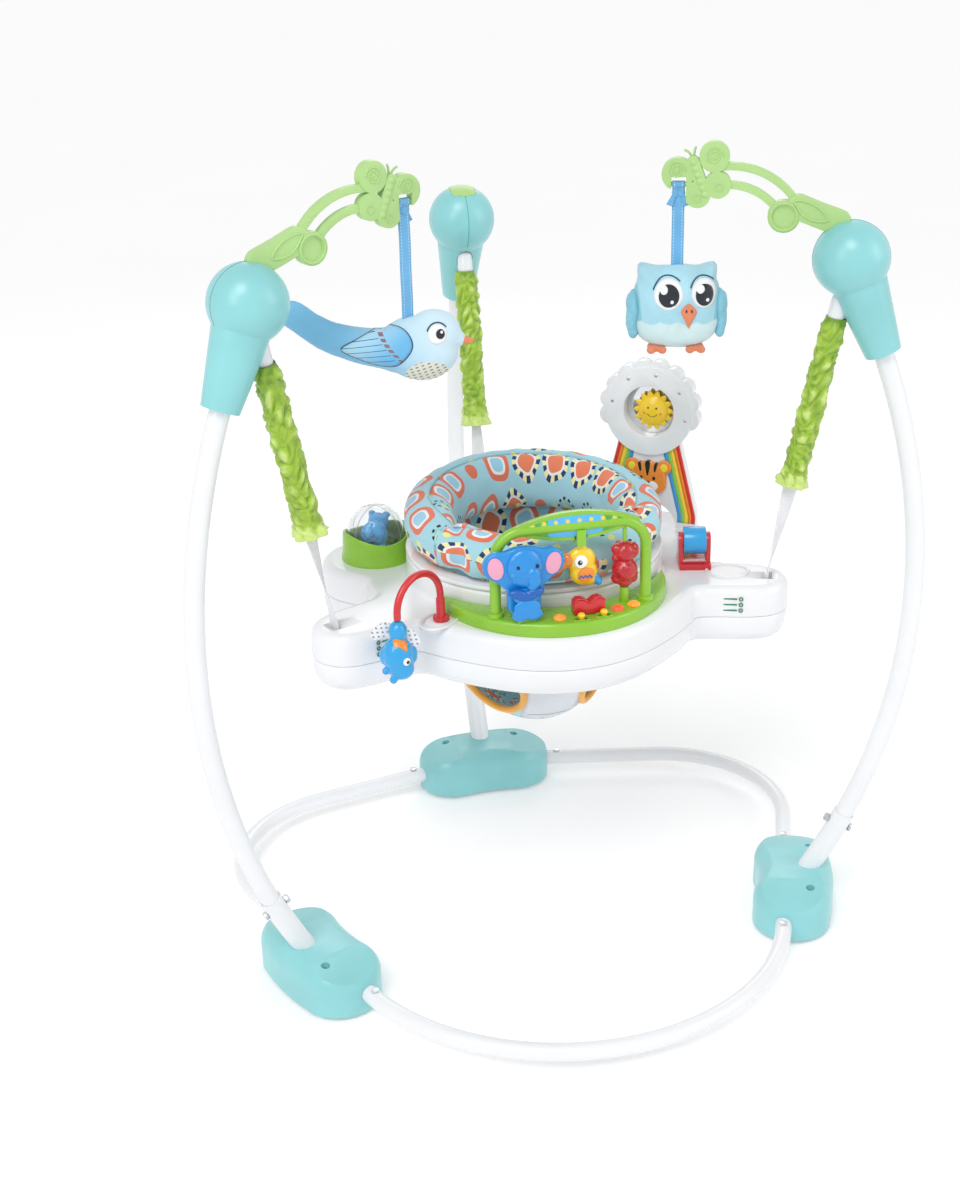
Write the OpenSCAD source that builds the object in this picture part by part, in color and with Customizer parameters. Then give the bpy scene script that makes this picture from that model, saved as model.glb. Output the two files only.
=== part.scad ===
// Baby jumper: bowed posts on a floor ring, sprung straps, a toy tray and a turning seat.
// The origin is on the floor, on the axis that the seat turns about. The front is -Y.

/* [Clearances] */
// Gap between pieces that are pushed or clamped together
fit = 0.2; // [0.1:0.05:0.4]
// Gap between pieces that move on each other
run = 0.4; // [0.3:0.05:0.6]

/* [Posts] */
// Angle between straight ahead and each front post
post_spread = 68; // [62:1:72]
// Outside diameter of the post tubes
post_od = 22; // [18:0.5:25]
// Wall of the post tubes
post_wall = 1.4; // [1:0.1:2]
// Distance from the seat axis to the post where it bows out most
post_reach = 435; // [428:1:445]
// Bend radius of the posts
post_bend = 750; // [720:5:800]
// Height where the posts bow out most
post_belly_z = 430; // [420:1:440]
// Wall of the short stubs that carry the posts
stub_wall = 1.6; // [1.2:0.1:2.2]
// Height of the open end of the stubs
stub_top_z = 134; // [125:1:145]
// Depth of a post in its stub
stub_grip = 40; // [34:1:46]
// How much nearer to the seat the back post stands
back_inset = 20; // [10:1:30]
// How much lower the back head sits
back_drop = 28; // [20:1:34]

/* [Floor ring] */
// Outside diameter of the floor tubes
base_od = 20; // [17:0.5:22]
// Wall of the floor tubes
base_wall = 1.3; // [1:0.1:2]
// Height of the floor tubes' centre line
base_z = 27; // [25:0.5:29]
// Bend radius of the two side tubes
side_bend = 155; // [140:1:165]
// Angle that the side tubes slope forwards from the back foot
side_toe = 12.5; // [8:0.5:16]
// Depth of the floor tubes in the feet
foot_grip = 48; // [42:1:52]

/* [Feet] */
// Distance from the middle of a foot out to the widest point of its post
foot_inset = 115; // [109:1:123]
// Length of a foot
foot_len = 182; // [172:1:196]
// Width of a foot
foot_w = 94; // [88:1:104]
// Height of a foot's top above the floor
foot_h = 60; // [56:1:66]
// Height of a foot's lower edge above the floor
foot_lift = 5; // [4:0.5:7]
// Rounding of a foot's top edge
foot_edge = 26; // [20:1:30]
// Wall of the foot mouldings
foot_wall = 3; // [2.4:0.1:3.6]
// Radius that a foot bends along
foot_curve = 250; // [220:5:300]
// Radius of the arch along a foot's top
foot_arch = 270; // [260:5:400]
// Distance from a foot's middle to the floor tubes, towards the seat
tube_offset = 14; // [10:0.5:16]
// Radius of the pads under the feet
pad_r = 14; // [11:0.5:16]

/* [Heads] */
// Radius of the ball heads
head_r = 41; // [39:0.5:44]
// Wall of the ball heads
head_wall = 3; // [2.4:0.1:3.4]
// Height of the lower end of the front necks
neck_z = 705; // [700:1:712]
// Distance from the neck's end to the ball's centre
neck_len = 108; // [104:1:114]
// Radius of the neck at its end
neck_end_r = 20; // [18:0.5:22]
// Radius of the neck at the ball
neck_top_r = 30; // [28:0.5:31]
// Depth of the posts in the necks
post_grip = 46; // [40:1:48]
// Radius of the pins that the springs hang on
pin_r = 3; // [2.5:0.1:3.5]

/* [Springs and straps] */
// Mean radius of the spring coils
coil_r = 7.2; // [6.5:0.1:7.6]
// Radius of the spring wire
wire_r = 1.25; // [1:0.05:1.4]
// Turns in each spring
coil_turns = 10; // [8:1:12]
// Length of each spring
spring_len = 206; // [196:1:212]
// Length of the gathered sleeves
sleeve_len = 178; // [172:1:182]
// Radius of the gathered sleeves
sleeve_r = 14; // [12.5:0.5:16]
// Radius of the loose hem at a sleeve's lower end
hem_r = 20; // [18:0.5:22]
// Width of the straps
strap_w = 18; // [15:0.5:20]
// Thickness of the straps
strap_t = 1.8; // [1.4:0.1:2.2]

/* [Tray] */
// Radius of the tray's round body
tray_r = 196; // [192:1:200]
// Height of the tray's top
tray_top_z = 440; // [436:1:446]
// Height of the seam between the two tray shells
tray_seam_z = 404; // [398:1:408]
// Height of the tray's underside
tray_low_z = 370; // [362:1:376]
// Wall of the tray shells
tray_wall = 3; // [2.4:0.1:3.6]
// Radius of the hole that the seat hangs in
bore_r = 136; // [132:0.5:138]
// Outside radius of the collar round the seat
collar_r = 148; // [145:0.5:150]
// Height of the collar above the tray
collar_h = 28; // [24:1:32]
// Radius of the front bulge that carries the toy panel
front_r = 138; // [134:1:142]
// Distance from the seat axis to the front bulge's centre
front_y = 72; // [69:1:75]
// Distance from the seat axis to the tip of the three arms
arm_reach = 294; // [288:1:300]
// Width of the three arms
arm_w = 84; // [78:1:90]
// Distance from the tip of an arm to its strap slot
slot_inset = 24; // [20:1:30]
// Radius of the two lobes at the back
lobe_r = 66; // [62:1:70]
// Angle of the lobes behind straight right and left
lobe_angle = 27; // [24:1:30]

/* [Seat] */
// Wall of the turning seat ring
ring_wall = 6; // [5:0.5:7]
// Thickness of the ring's flange
flange_t = 5; // [4:0.5:6]
// Largest radius of the seat pad
pad_reach = 150; // [146:0.5:151]
// Smallest radius of the seat pad
pad_inner = 94; // [88:1:100]
// Height of the pad's top at the front
pad_front_z = 524; // [515:1:530]
// Height of the pad's top at the back
pad_back_z = 545; // [535:1:555]
// Height of the lowest point of the hanging seat
sling_low_z = 258; // [250:1:275]
// Thickness of the hanging seat's cloth
sling_t = 3; // [2:0.5:4]
// Radius of the leg holes
leg_r = 46; // [42:1:50]

/* [Front toy panel] */
// Height of the green panel base
panel_h = 15; // [13:0.5:17]
// Wall of the panel base
panel_wall = 2.5; // [2:0.1:3]
// Half the width between the arch's legs
arch_half = 84; // [81:1:87]
// Height of the arch above the panel base
arch_h = 94; // [90:1:98]
// Radius of the arch's bar
arch_bar_r = 6; // [5:0.5:7]
// Distance from the seat axis to the arch
arch_y = 158; // [157:0.5:160]
// Travel of the two sliding switches
switch_travel = 8; // [6:0.5:10]

/* [Side toys] */
// Radius of the clear dome
dome_r = 34; // [32:0.5:36]
// How far the foot of the dome's cup reaches out past the dome
dome_flare = 7.6; // [6.6:0.1:8.6]
// Wall of the clear dome
dome_wall = 2; // [1.6:0.1:2.4]
// Height of the mirror ring's centre above the tray
mirror_h = 150; // [144:1:154]
// Radius of the mirror ring
mirror_r = 54; // [50:0.5:57]
// Depth of the mirror ring
mirror_t = 22; // [18:0.5:26]
// Direction that the mirror tower faces
tower_face = 236; // [228:1:244]
// Radius of the roller drum
drum_r = 16; // [14:0.5:18]
// Length of the roller drum
drum_len = 26; // [22:0.5:30]
// Radius of the tether stalk's bow
stalk_bow = 34; // [31:0.5:36]
// Radius of the tether stalk
stalk_r = 4; // [3.5:0.1:4.5]

/* [Hanging toys] */
// Thickness of the toy arms
arm_t = 11; // [9:0.5:13]
// Width of the toy ribbons
ribbon_w = 13; // [11:0.5:14]
// Length of the owl's ribbon
owl_drop = 86; // [80:1:92]
// Length of the bird's ribbon
bird_drop = 108; // [100:1:114]
// Half the width of the owl's body
owl_half_w = 47; // [43:0.5:50]
// Half the height of the owl's body
owl_half_h = 44; // [40:0.5:46]
// Half the thickness of the owl's body
owl_half_d = 34; // [28:0.5:38]
// Half the height of the bird's body
bird_half_h = 38; // [34:0.5:41]
// Half the thickness of the bird's body
bird_half_d = 28; // [24:0.5:32]

/* [Hidden] */
$fn = 64;
eps = 0.01;
// Posts are numbered: left, right, back
LEFT = 0;
RIGHT = 1;
BACK = 2;
post_angle = [270 - post_spread, 270 + post_spread, 90];
inset = [0, 0, back_inset];
drop = [0, 0, back_drop];
stub_od = post_od + 2 * (fit + stub_wall);
stub_low_z = foot_lift + 8;
bolt_z = stub_top_z - 14;
bolt_r = 2.8;
screw_r = 2;
screw_head_r = 4.2;
screw_head_h = 2.6;
seam = 0.2;
tube_screw_gap = 12;
bend_lap = 1;
bend_thin = 0.1;
bean_step = 0.2;
arch_step = 1;
link_step = 0.02;

// Feet keep their place under the posts, slots on the arms, and the lobes' toys beside the collar
foot_reach = post_reach - foot_inset;
slot_reach = arm_reach - slot_inset;
dome_foot_r = dome_r + dome_flare;
lobe_reach = collar_r + run + dome_foot_r;

// Post centre line, an arc in the upright plane through the seat axis
function post_tilt(z) = asin((z - post_belly_z) / post_bend);
function post_centre(p) = post_reach - inset[p] - post_bend;
function post_dist(p, z) = post_centre(p) + post_bend * cos(post_tilt(z));
function neck_height(p) = neck_z - drop[p];
function neck_tilt(p) = post_tilt(neck_height(p));
function post_top_z(p) = post_belly_z + post_bend * sin(neck_tilt(p) + post_grip / post_bend * 180 / PI);
function head_dist(p) = post_dist(p, neck_height(p)) - neck_len * sin(neck_tilt(p));
function head_height(p) = neck_height(p) + neck_len * cos(neck_tilt(p));

// Spring line, from the pin in the head to the strap slot in the tray's arm
pin_in = 8;
neck_sink = 26;
pin_down = 12;
strap_lead = 5;
function pin_dist(p) = head_dist(p) - pin_in * cos(neck_tilt(p)) + pin_down * sin(neck_tilt(p));
function pin_height(p) = head_height(p) - pin_in * sin(neck_tilt(p)) - pin_down * cos(neck_tilt(p));
function line_dx(p) = slot_reach - pin_dist(p);
function line_dz(p) = tray_top_z + strap_lead - pin_height(p);
function line_len(p) = norm([line_dx(p), line_dz(p)]);
function line_tilt(p) = atan2(-line_dx(p), -line_dz(p));
spring_start = pin_r + wire_r + fit + 0.1;
strap_start = spring_start + spring_len + wire_r + fit + 0.1;
sleeve_start = 60;

// Floor tube routes, in plan
function tube_dist(p) = foot_reach - inset[p] - tube_offset;
foot_exit = foot_len / 2;
front_bend = tube_dist(LEFT) - foot_exit / tan(post_spread);
front_bend_y = -foot_exit / sin(post_spread);
side_exit = [
  -tube_dist(LEFT) * sin(post_spread) - foot_exit * cos(post_spread),
  -tube_dist(LEFT) * cos(post_spread) + foot_exit * sin(post_spread)
];
back_exit = [-foot_exit, tube_dist(BACK)];
back_way = [-cos(side_toe), -sin(side_toe)];
side_way = [-cos(post_spread), sin(post_spread)];
side_run = cos(side_toe) + sin(side_toe) / tan(post_spread);
back_to_corner = -(side_exit[0] - back_exit[0] - (back_exit[1] - side_exit[1]) / tan(post_spread)) / side_run;
corner = back_exit + back_to_corner * back_way;
side_to_corner = norm(corner - side_exit);
side_turn = 180 - post_spread - side_toe;
side_tangent = side_bend * tan(side_turn / 2);
side_start = corner - side_tangent * back_way;
side_centre = side_start + side_bend * [sin(side_toe), -cos(side_toe)];

// Toy arm outline, in the post's plane, measured from the ball head's centre
rail_w = 8;
upper_rail = [[-60, 58], [-93, 87], [-146, 93.5]];
lower_rail = [[-78, 48], [-97, 66], [-134, 76]];
wings = [[-147, 105, 16], [-185, 87, 17], [-143, 76, 14], [-164, 66, 14]];
wing_body = [[-169, 99], [-156, 66]];
ring_boss = [-73, 44, 17];
ribbon_bar = [-184, 76];
ribbon_bar_r = 2.5;
ribbon_t = 1.6;
root_w = 26;
root_floor = 12;

// Tray heights and toy places
collar_z = tray_top_z + collar_h;
flange_z = collar_z + run;
pad_low_z = flange_z + flange_t + 0.3;
panel_top_z = tray_top_z + panel_h;
arch_top_z = panel_top_z + arch_h;
panel_r = front_r - 8;
panel_edge = 4;
swing_r = collar_r + 5;
elephant_x = -56;
elephant_t = 14;
elephant_y = -(arch_y + arch_bar_r + elephant_t / 2 + 1);
elephant_z = panel_top_z + 11;
parrot_x = 10;
hanger_gap = 8;
hanger_pin_r = 2.2;
parrot_z = arch_top_z - arch_bar_r - 12;
perch_size = [36, 15, 20];
spinner_x = 60;
spinner_z = panel_top_z + 44;
axle_r = 2.4;
lens_spots = [[-20, -184], [47, -177], [67, -171]];
lens_r = 7;
switch_spots = [[2, -191], [28, -188]];
switch_size = [9, 7, 7];
switch_stem = [5, 4];
switch_plate = 1.6;
dome_z = tray_top_z + 30;
drum_angle = 346;
drum_reach = 186;
drum_z = tray_top_z + 30;
stalk_angle = 221;
stalk_reach = 180;
stalk_aim = 216;
stalk_rise = 26;
tether_drop = 6;
pivot_run = 0.3;

teal = [0.47, 0.8, 0.79];
white = [0.93, 0.94, 0.95];
leaf_green = [0.67, 0.86, 0.53];
lime = [0.53, 0.77, 0.2];
sky = [0.1, 0.6, 0.9];
red = [0.84, 0.12, 0.14];
yellow = [0.98, 0.85, 0.15];
steel = [0.72, 0.73, 0.75];
cloth = [0.62, 0.86, 0.9];

// Places
module turn(p) rotate([0, 0, post_angle[p]]) children();

module at_foot(p) turn(p) translate([foot_reach - inset[p], 0, 0]) children();

module at_neck(p) {
  turn(p) translate([post_dist(p, neck_height(p)), 0, neck_height(p)])
    rotate([0, -neck_tilt(p), 0]) children();
}

module at_ball(p) turn(p) translate([head_dist(p), 0, head_height(p)]) children();

module at_bolt(p) {
  turn(p) translate([post_dist(p, bolt_z), 0, bolt_z])
    rotate([0, 90 - post_tilt(bolt_z), 0]) children();
}

// Z runs down the spring line from the pin
module on_line(p, s = 0) {
  turn(p) translate([pin_dist(p), 0, pin_height(p)])
    rotate([0, 180 + line_tilt(p), 0]) translate([0, 0, s]) children();
}

module at_lobe(side) {
  rotate([0, 0, side > 0 ? lobe_angle : 180 - lobe_angle]) translate([lobe_reach, 0, tray_top_z]) children();
}

// Y runs out of the tower's face, X along its width
module at_tower() {
  translate([lobe_reach * cos(lobe_angle), lobe_reach * sin(lobe_angle), tray_top_z])
    rotate([0, 0, tower_face - 90]) children();
}

module at_roller() rotate([0, 0, drum_angle]) translate([drum_reach, 0, 0]) children();

module at_stalk() {
  rotate([0, 0, stalk_angle]) translate([stalk_reach, 0, tray_top_z])
    rotate([0, 0, stalk_aim - stalk_angle]) children();
}

// Shared shapes
module ring(d, w) {
  difference() {
    circle(d = d);
    circle(d = d - 2 * w);
  }
}

// Two discs and a bar, a hair narrower so that its sides cross the discs
module link(a, b, w) {
  translate(a) circle(d = w);
  translate(b) circle(d = w);
  translate(a) rotate(atan2(b[1] - a[1], b[0] - a[0])) translate([0, link_step - w / 2])
    square([norm(b - a), w - 2 * link_step]);
}

module chain(points, w) {
  for (i = [0 : len(points) - 2]) link(points[i], points[i + 1], w);
}

// A bar bent along the circle through three points
module arc_bar(points, w) {
  a = points[1] - points[0];
  b = points[2] - points[0];
  centre = [b[1] * (a * a) - a[1] * (b * b), a[0] * (b * b) - b[0] * (a * a)] / (2 * cross(a, b));
  translate(points[0] + centre) intersection() {
    ring(2 * norm(centre) + w, w);
    polygon([[0, 0], -2 * centre, 2 * (a - centre), 2 * (b - centre)]);
  }
}

// Right half of a section with a rounded top corner
module half_section(w, h, f) {
  intersection() {
    union() {
      square([w, h - f]);
      square([w - f, h]);
      translate([w - f, h - f]) circle(f);
    }
    square([w, h]);
  }
}

module section(w, h, f) {
  half_section(w, h, f);
  mirror([1, 0]) half_section(w, h, f);
}

module slab(r, h, f) rotate_extrude($fn = 128) half_section(r, h, f);

// A bent body: a rounded disc at each end and an arc between them, a hair smaller
module bean(length, w, h, f, bend) {
  half_turn = (length - w) / 2 / bend * 180 / PI;
  translate([-bend, 0, 0]) {
    rotate([0, 0, -half_turn]) rotate_extrude(angle = 2 * half_turn, $fn = 128)
      translate([bend, 0]) section(w / 2 - bean_step, h - bean_step, f);
    for (s = [-1, 1]) rotate([0, 0, s * half_turn]) translate([bend, 0, 0]) slab(w / 2, h, f);
  }
}

// A flat shape standing in the XZ plane, with its thickness along Y
module upright(t) rotate([90, 0, 0]) linear_extrude(t, center = true) children();

module ball(size) scale(size / 10) sphere(10);

// A closed skin through rings of points, with flat ends
module loft(rings) {
  n = len(rings[0]);
  m = len(rings);
  points = [for (r = rings) each r];
  sides = [for (i = [0 : m - 2], j = [0 : n - 1])
    each [[i * n + j, i * n + (j + 1) % n, (i + 1) * n + j],
          [i * n + (j + 1) % n, (i + 1) * n + (j + 1) % n, (i + 1) * n + j]]];
  low = [for (j = [1 : n - 2]) [0, j + 1, j]];
  high = [for (j = [1 : n - 2]) [(m - 1) * n, (m - 1) * n + j, (m - 1) * n + j + 1]];
  polyhedron(points, concat(sides, low, high));
}

// A closed skin through rings of points that meet end to end
module hoop(rings) {
  n = len(rings[0]);
  m = len(rings);
  points = [for (r = rings) each r];
  polyhedron(points, [for (i = [0 : m - 1], j = [0 : n - 1])
    each [[i * n + j, i * n + (j + 1) % n, (i + 1) % m * n + j],
          [i * n + (j + 1) % n, (i + 1) % m * n + (j + 1) % n, (i + 1) % m * n + j]]]);
}

// Frame: floor tubes, stubs and posts
module bowed(p, z0, z1) {
  turn(p) translate([post_centre(p), 0, post_belly_z]) rotate([90, 0, 0])
    rotate([0, 0, post_tilt(z0)])
      rotate_extrude(angle = post_tilt(z1) - post_tilt(z0), $fn = 128) translate([post_bend, 0]) children();
}

// One bow from foot to foot; extra lengthens it at both ends
module front_tube(extra) {
  hidden = (foot_grip + extra) / front_bend * 180 / PI;
  translate([0, front_bend_y, base_z]) rotate([0, 0, post_angle[LEFT] - hidden])
    rotate_extrude(angle = 2 * (post_spread + hidden), $fn = 128) translate([front_bend, 0]) children();
}

// The straight ends of a side tube, which run into the left and the back foot
module side_ends(extra) {
  side_end = side_centre + side_bend * [-sin(post_spread), -cos(post_spread)];
  translate([side_start[0], side_start[1], base_z]) rotate([0, 0, side_toe]) rotate([0, 90, 0])
    translate([0, 0, -bend_lap]) linear_extrude(back_to_corner - side_tangent + foot_grip + extra + bend_lap)
      children();
  translate([side_end[0], side_end[1], base_z]) rotate([0, 0, -post_spread]) rotate([0, 90, 0])
    translate([0, 0, -bend_lap]) linear_extrude(side_to_corner - side_tangent + foot_grip + extra + bend_lap)
      children();
}

module side_bow() {
  translate([side_centre[0], side_centre[1], base_z]) rotate([0, 0, 90 + side_toe])
    rotate_extrude(angle = side_turn, $fn = 128) translate([side_bend, 0]) children();
}

front_screw_angle = post_angle[LEFT] + tube_screw_gap / front_bend * 180 / PI;
tube_screw_spots = [
  [front_bend * cos(front_screw_angle), front_bend_y + front_bend * sin(front_screw_angle)],
  side_exit + tube_screw_gap * side_way,
  back_exit + tube_screw_gap * back_way
];

module tube_screw_holes() {
  for (m = [0, 1], s = tube_screw_spots) mirror([m, 0, 0])
    translate([s[0], s[1], base_z]) cylinder(r = screw_r + fit, h = base_od);
}

module base_tube_front() {
  color(white) difference() {
    front_tube(0) ring(base_od, base_wall);
    tube_screw_holes();
  }
}

// A bent tube thins a little in its bend
module base_tube_left() {
  color(white) difference() {
    union() {
      side_ends(0) ring(base_od, base_wall);
      side_bow() ring(base_od - 2 * bend_thin, base_wall - 2 * bend_thin);
    }
    tube_screw_holes();
  }
}

module base_tube_right() mirror([1, 0, 0]) base_tube_left();

module bolt_hole(p) at_bolt(p) cylinder(r = bolt_r + fit, h = 2 * stub_od, center = true);

module post(p) {
  color(white) difference() {
    bowed(p, stub_top_z - stub_grip, post_top_z(p)) ring(post_od, post_wall);
    bolt_hole(p);
  }
}

module post_stubs() {
  color(white) for (p = [LEFT, RIGHT, BACK]) difference() {
    bowed(p, stub_low_z, stub_top_z) ring(stub_od, stub_wall);
    bolt_hole(p);
  }
}

// Feet
foot_screw_x = 17;
foot_screw_y = foot_len / 2 - 42;
foot_screw_sink = 9;
foot_screw_z = foot_h - foot_fall(foot_screw_y) - foot_screw_sink;
pad_y = foot_len / 2 - 30;
pad_h = foot_lift + 5;
rib_t = 4;

// How much lower a foot's top is at a distance y from its middle
function foot_fall(y) = foot_arch - sqrt(foot_arch * foot_arch - y * y);

module foot_shell(g) {
  intersection() {
    translate([0, 0, foot_lift])
      bean(foot_len - 2 * g, foot_w - 2 * g, foot_h + arch_step - foot_lift - g, foot_edge - g, foot_curve);
    translate([0, 0, foot_h - foot_arch]) rotate([0, 90, 0])
      cylinder(r = foot_arch - g, h = 2 * foot_w, center = true, $fn = 256);
  }
}

module foot_inside() {
  rib_y = foot_exit - foot_grip;
  for (y = [-rib_y - 16, -rib_y, rib_y, rib_y + 16])
    translate([-foot_w / 2, y - rib_t / 2, 0]) cube([foot_w, rib_t, foot_h]);
  translate([post_dist(LEFT, foot_h / 2) - foot_reach, 0, 0]) cylinder(d = stub_od + 18, h = foot_h);
  for (s = [-1, 1]) {
    translate([foot_screw_x, s * foot_screw_y, 0]) cylinder(r = screw_head_r + 4, h = foot_h);
    translate([0, s * pad_y, 0]) cylinder(r = pad_r + foot_wall, h = pad_h + foot_wall);
  }
}

module foot(p) {
  color(teal) difference() {
    at_foot(p) difference() {
      foot_shell(0);
      difference() {
        translate([0, 0, -eps]) foot_shell(foot_wall);
        foot_inside();
      }
      for (s = [-1, 1]) {
        translate([foot_screw_x, s * foot_screw_y, foot_screw_z])
          cylinder(r = screw_head_r + 1, h = foot_h);
        translate([foot_screw_x, s * foot_screw_y, 0]) cylinder(r = screw_r + fit, h = foot_h);
        translate([0, s * pad_y, 0]) cylinder(r = pad_r + fit, h = pad_h + fit);
      }
    }
    bowed(p, stub_low_z - 2 * fit, foot_h * 2) circle(d = stub_od + 2 * fit);
    if (p != BACK) front_tube(fit) circle(d = base_od + 2 * fit);
    if (p != RIGHT) side_ends(fit) circle(d = base_od + 2 * fit);
    if (p != LEFT) mirror([1, 0, 0]) side_ends(fit) circle(d = base_od + 2 * fit);
  }
}

module foot_pads() {
  color([0.9, 0.9, 0.9]) for (p = [LEFT, RIGHT, BACK]) at_foot(p) for (s = [-1, 1])
    translate([0, s * pad_y, 0]) cylinder(r = pad_r, h = pad_h);
}

module screw(length) {
  cylinder(r = screw_head_r, h = screw_head_h);
  translate([0, 0, -length]) cylinder(r = screw_r, h = length + eps);
}

module frame_screws() {
  nut_h = 5;
  color(steel) {
    for (p = [LEFT, RIGHT, BACK]) {
      at_bolt(p) {
        translate([0, 0, stub_od / 2 + fit]) cylinder(r = 5, h = 3.4);
        translate([0, 0, -stub_od / 2 - nut_h - 1]) cylinder(r = bolt_r, h = stub_od + nut_h + 2);
      }
      at_bolt(p) translate([0, 0, -stub_od / 2 - fit - nut_h]) difference() {
        cylinder(r = 5.4, h = nut_h, $fn = 6);
        translate([0, 0, -1]) cylinder(r = bolt_r + 0.05, h = nut_h + 2);
      }
      at_foot(p) for (s = [-1, 1])
        translate([foot_screw_x, s * foot_screw_y, foot_screw_z + fit]) screw(22);
    }
    for (m = [0, 1], s = tube_screw_spots) mirror([m, 0, 0])
      translate([s[0], s[1], base_z + base_od / 2 + fit]) screw(8);
  }
}

// Ball heads, each two half shells that clamp the post
module head_half(p, side) {
  color(teal) difference() {
    at_neck(p) intersection() {
      head_body(p);
      translate([-2 * head_r, side > 0 ? seam / 2 : -2 * head_r - seam / 2, -1])
        cube([4 * head_r, 2 * head_r, neck_len + 2 * head_r]);
    }
    bowed(p, neck_height(p) - fit, post_top_z(p) + fit) circle(d = post_od + 2 * fit);
  }
}

module head_body(p) {
  difference() {
    union() {
      translate([0, 0, neck_len]) sphere(head_r, $fn = 96);
      cylinder(r1 = neck_end_r, r2 = neck_top_r, h = neck_len - neck_sink);
    }
    difference() {
      translate([0, 0, neck_len]) sphere(head_r - head_wall, $fn = 96);
      translate([-pin_in, 0, neck_len - pin_down]) rotate([90, 0, 0]) difference() {
        cylinder(r = pin_r + 4, h = 3 * head_r, center = true);
        cylinder(r = pin_r + 5, h = 1.1 * head_r, center = true);
      }
      translate([-root_w / 2 - head_wall, -arm_t / 2 - head_wall, neck_len + root_floor - head_wall])
        cube([root_w + 2 * head_wall, arm_t + 2 * head_wall, head_r]);
    }
    translate([-pin_in, 0, neck_len - pin_down]) {
      rotate([90, 0, 0]) cylinder(r = pin_r + fit, h = 1.5 * head_r, center = true);
      rotate([0, 180 + line_tilt(p) + neck_tilt(p), 0]) cylinder(r = coil_r + wire_r + 1.6, h = 2 * head_r);
    }
    translate([-root_w / 2 - fit, -arm_t / 2 - fit, neck_len + root_floor])
      cube([root_w + 2 * fit, arm_t + 2 * fit, head_r]);
  }
}

module spring_pins() {
  color(steel) for (p = [LEFT, RIGHT, BACK]) at_neck(p)
    translate([-pin_in, 0, neck_len - pin_down]) rotate([90, 0, 0])
      cylinder(r = pin_r, h = 1.5 * head_r - 0.4, center = true);
}

module root_plug(top) {
  translate([-root_w / 2, -arm_t / 2, root_floor + fit]) cube([root_w, arm_t, top - root_floor - fit]);
}

module arm_slot_cap() {
  color(leaf_green) at_neck(BACK) translate([0, 0, neck_len]) intersection() {
    root_plug(head_r + 4);
    sphere(head_r + 0.8, $fn = 96);
  }
}

// Toy arms with a butterfly at the tip
module toy_arm(p) {
  color(leaf_green) at_ball(p) {
    difference() {
      union() {
        upright(arm_t) {
          chain([[-15, 38], [-38, 46], [-58, 54]], root_w);
          translate([ring_boss[0], ring_boss[1]]) circle(ring_boss[2]);
        }
        upright(rail_w) {
          arc_bar(upper_rail, rail_w);
          arc_bar(lower_rail, rail_w);
        }
        upright(arm_t) {
          for (w = wings) translate([w[0], w[1]]) circle(w[2]);
          link(wing_body[0], wing_body[1], 13);
        }
      }
      sphere(head_r + fit, $fn = 96);
      for (s = [-1, 1]) translate([ring_boss[0], s * arm_t / 2, ring_boss[1]]) rotate([90, 0, 0])
        cylinder(r = ring_boss[2] - 5, h = 4, center = true);
      translate([ribbon_bar[0] - ribbon_w / 2 - 1.5, -arm_t, ribbon_bar[1] - 20])
        cube([ribbon_w + 3, 2 * arm_t, 28]);
    }
    rotate([0, -neck_tilt(p), 0]) root_plug(head_r + 4);
    translate([ribbon_bar[0], 0, ribbon_bar[1]]) rotate([0, 90, 0])
      cylinder(r = ribbon_bar_r, h = ribbon_w + 6, center = true);
  }
}

// Hanging toys: ribbon, body and trim, measured from the ribbon bar
module at_ribbon(p) at_ball(p) translate([ribbon_bar[0], 0, ribbon_bar[1]]) children();

// Turns a hanging toy to face forwards
module facing_front(p, yaw) rotate([0, 0, yaw - post_angle[p]]) children();

module ribbon(p, length) {
  loop_in = ribbon_bar_r + pivot_run;
  color(sky) at_ribbon(p) rotate([0, 90, 0]) linear_extrude(ribbon_w, center = true) {
    difference() {
      union() {
        circle(loop_in + ribbon_t);
        translate([0, -ribbon_t / 2]) square([length, ribbon_t]);
      }
      circle(loop_in);
    }
  }
}

// A cushion from an outline in the XZ plane, r(a), swelling to depth d
module pillow(radii, d) {
  n = len(radii);
  loft([for (k = [1 : pillow_layers - 1]) let (t = -90 + 180 * k / pillow_layers, c = pow(cos(t), 0.7))
    [for (j = [0 : n - 1]) [c * radii[j] * cos(360 * j / n), d * sin(t), c * radii[j] * sin(360 * j / n)]]]);
}

function bump(a, at, width) = exp(-pow(((a - at + 540) % 360 - 180) / width, 2));
function oval(a, w, h, k) = 1 / pow(pow(abs(cos(a)) / w, k) + pow(abs(sin(a)) / h, k), 1 / k);

outline_steps = 36;
owl_radii = [for (j = [0 : outline_steps - 1]) let (a = 360 * j / outline_steps)
  oval(a, owl_half_w, owl_half_h, 2.6) + 13 * (bump(a, 48, 10) + bump(a, 132, 10))];
bird_radii = [for (j = [0 : outline_steps - 1]) let (a = 360 * j / outline_steps)
  oval(a, 54, bird_half_h, 2.2) + 62 * bump(a, 164, 17)];
bird_yaw = -14;
owl_yaw = -14;
ribbon_end = 0.3;
pillow_layers = 10;
function pillow_face(d) = d * cos(180 / pillow_layers) + 0.3;

module at_owl() {
  at_ribbon(RIGHT) translate([0, 0, -owl_drop - ribbon_end - owl_half_h])
    facing_front(RIGHT, owl_yaw) children();
}

module at_bird() {
  at_ribbon(LEFT) translate([0, 0, -bird_drop - ribbon_end - bird_half_h])
    facing_front(LEFT, bird_yaw) children();
}

module owl_body() color([0.55, 0.82, 0.92]) at_owl() pillow(owl_radii, owl_half_d);

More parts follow.
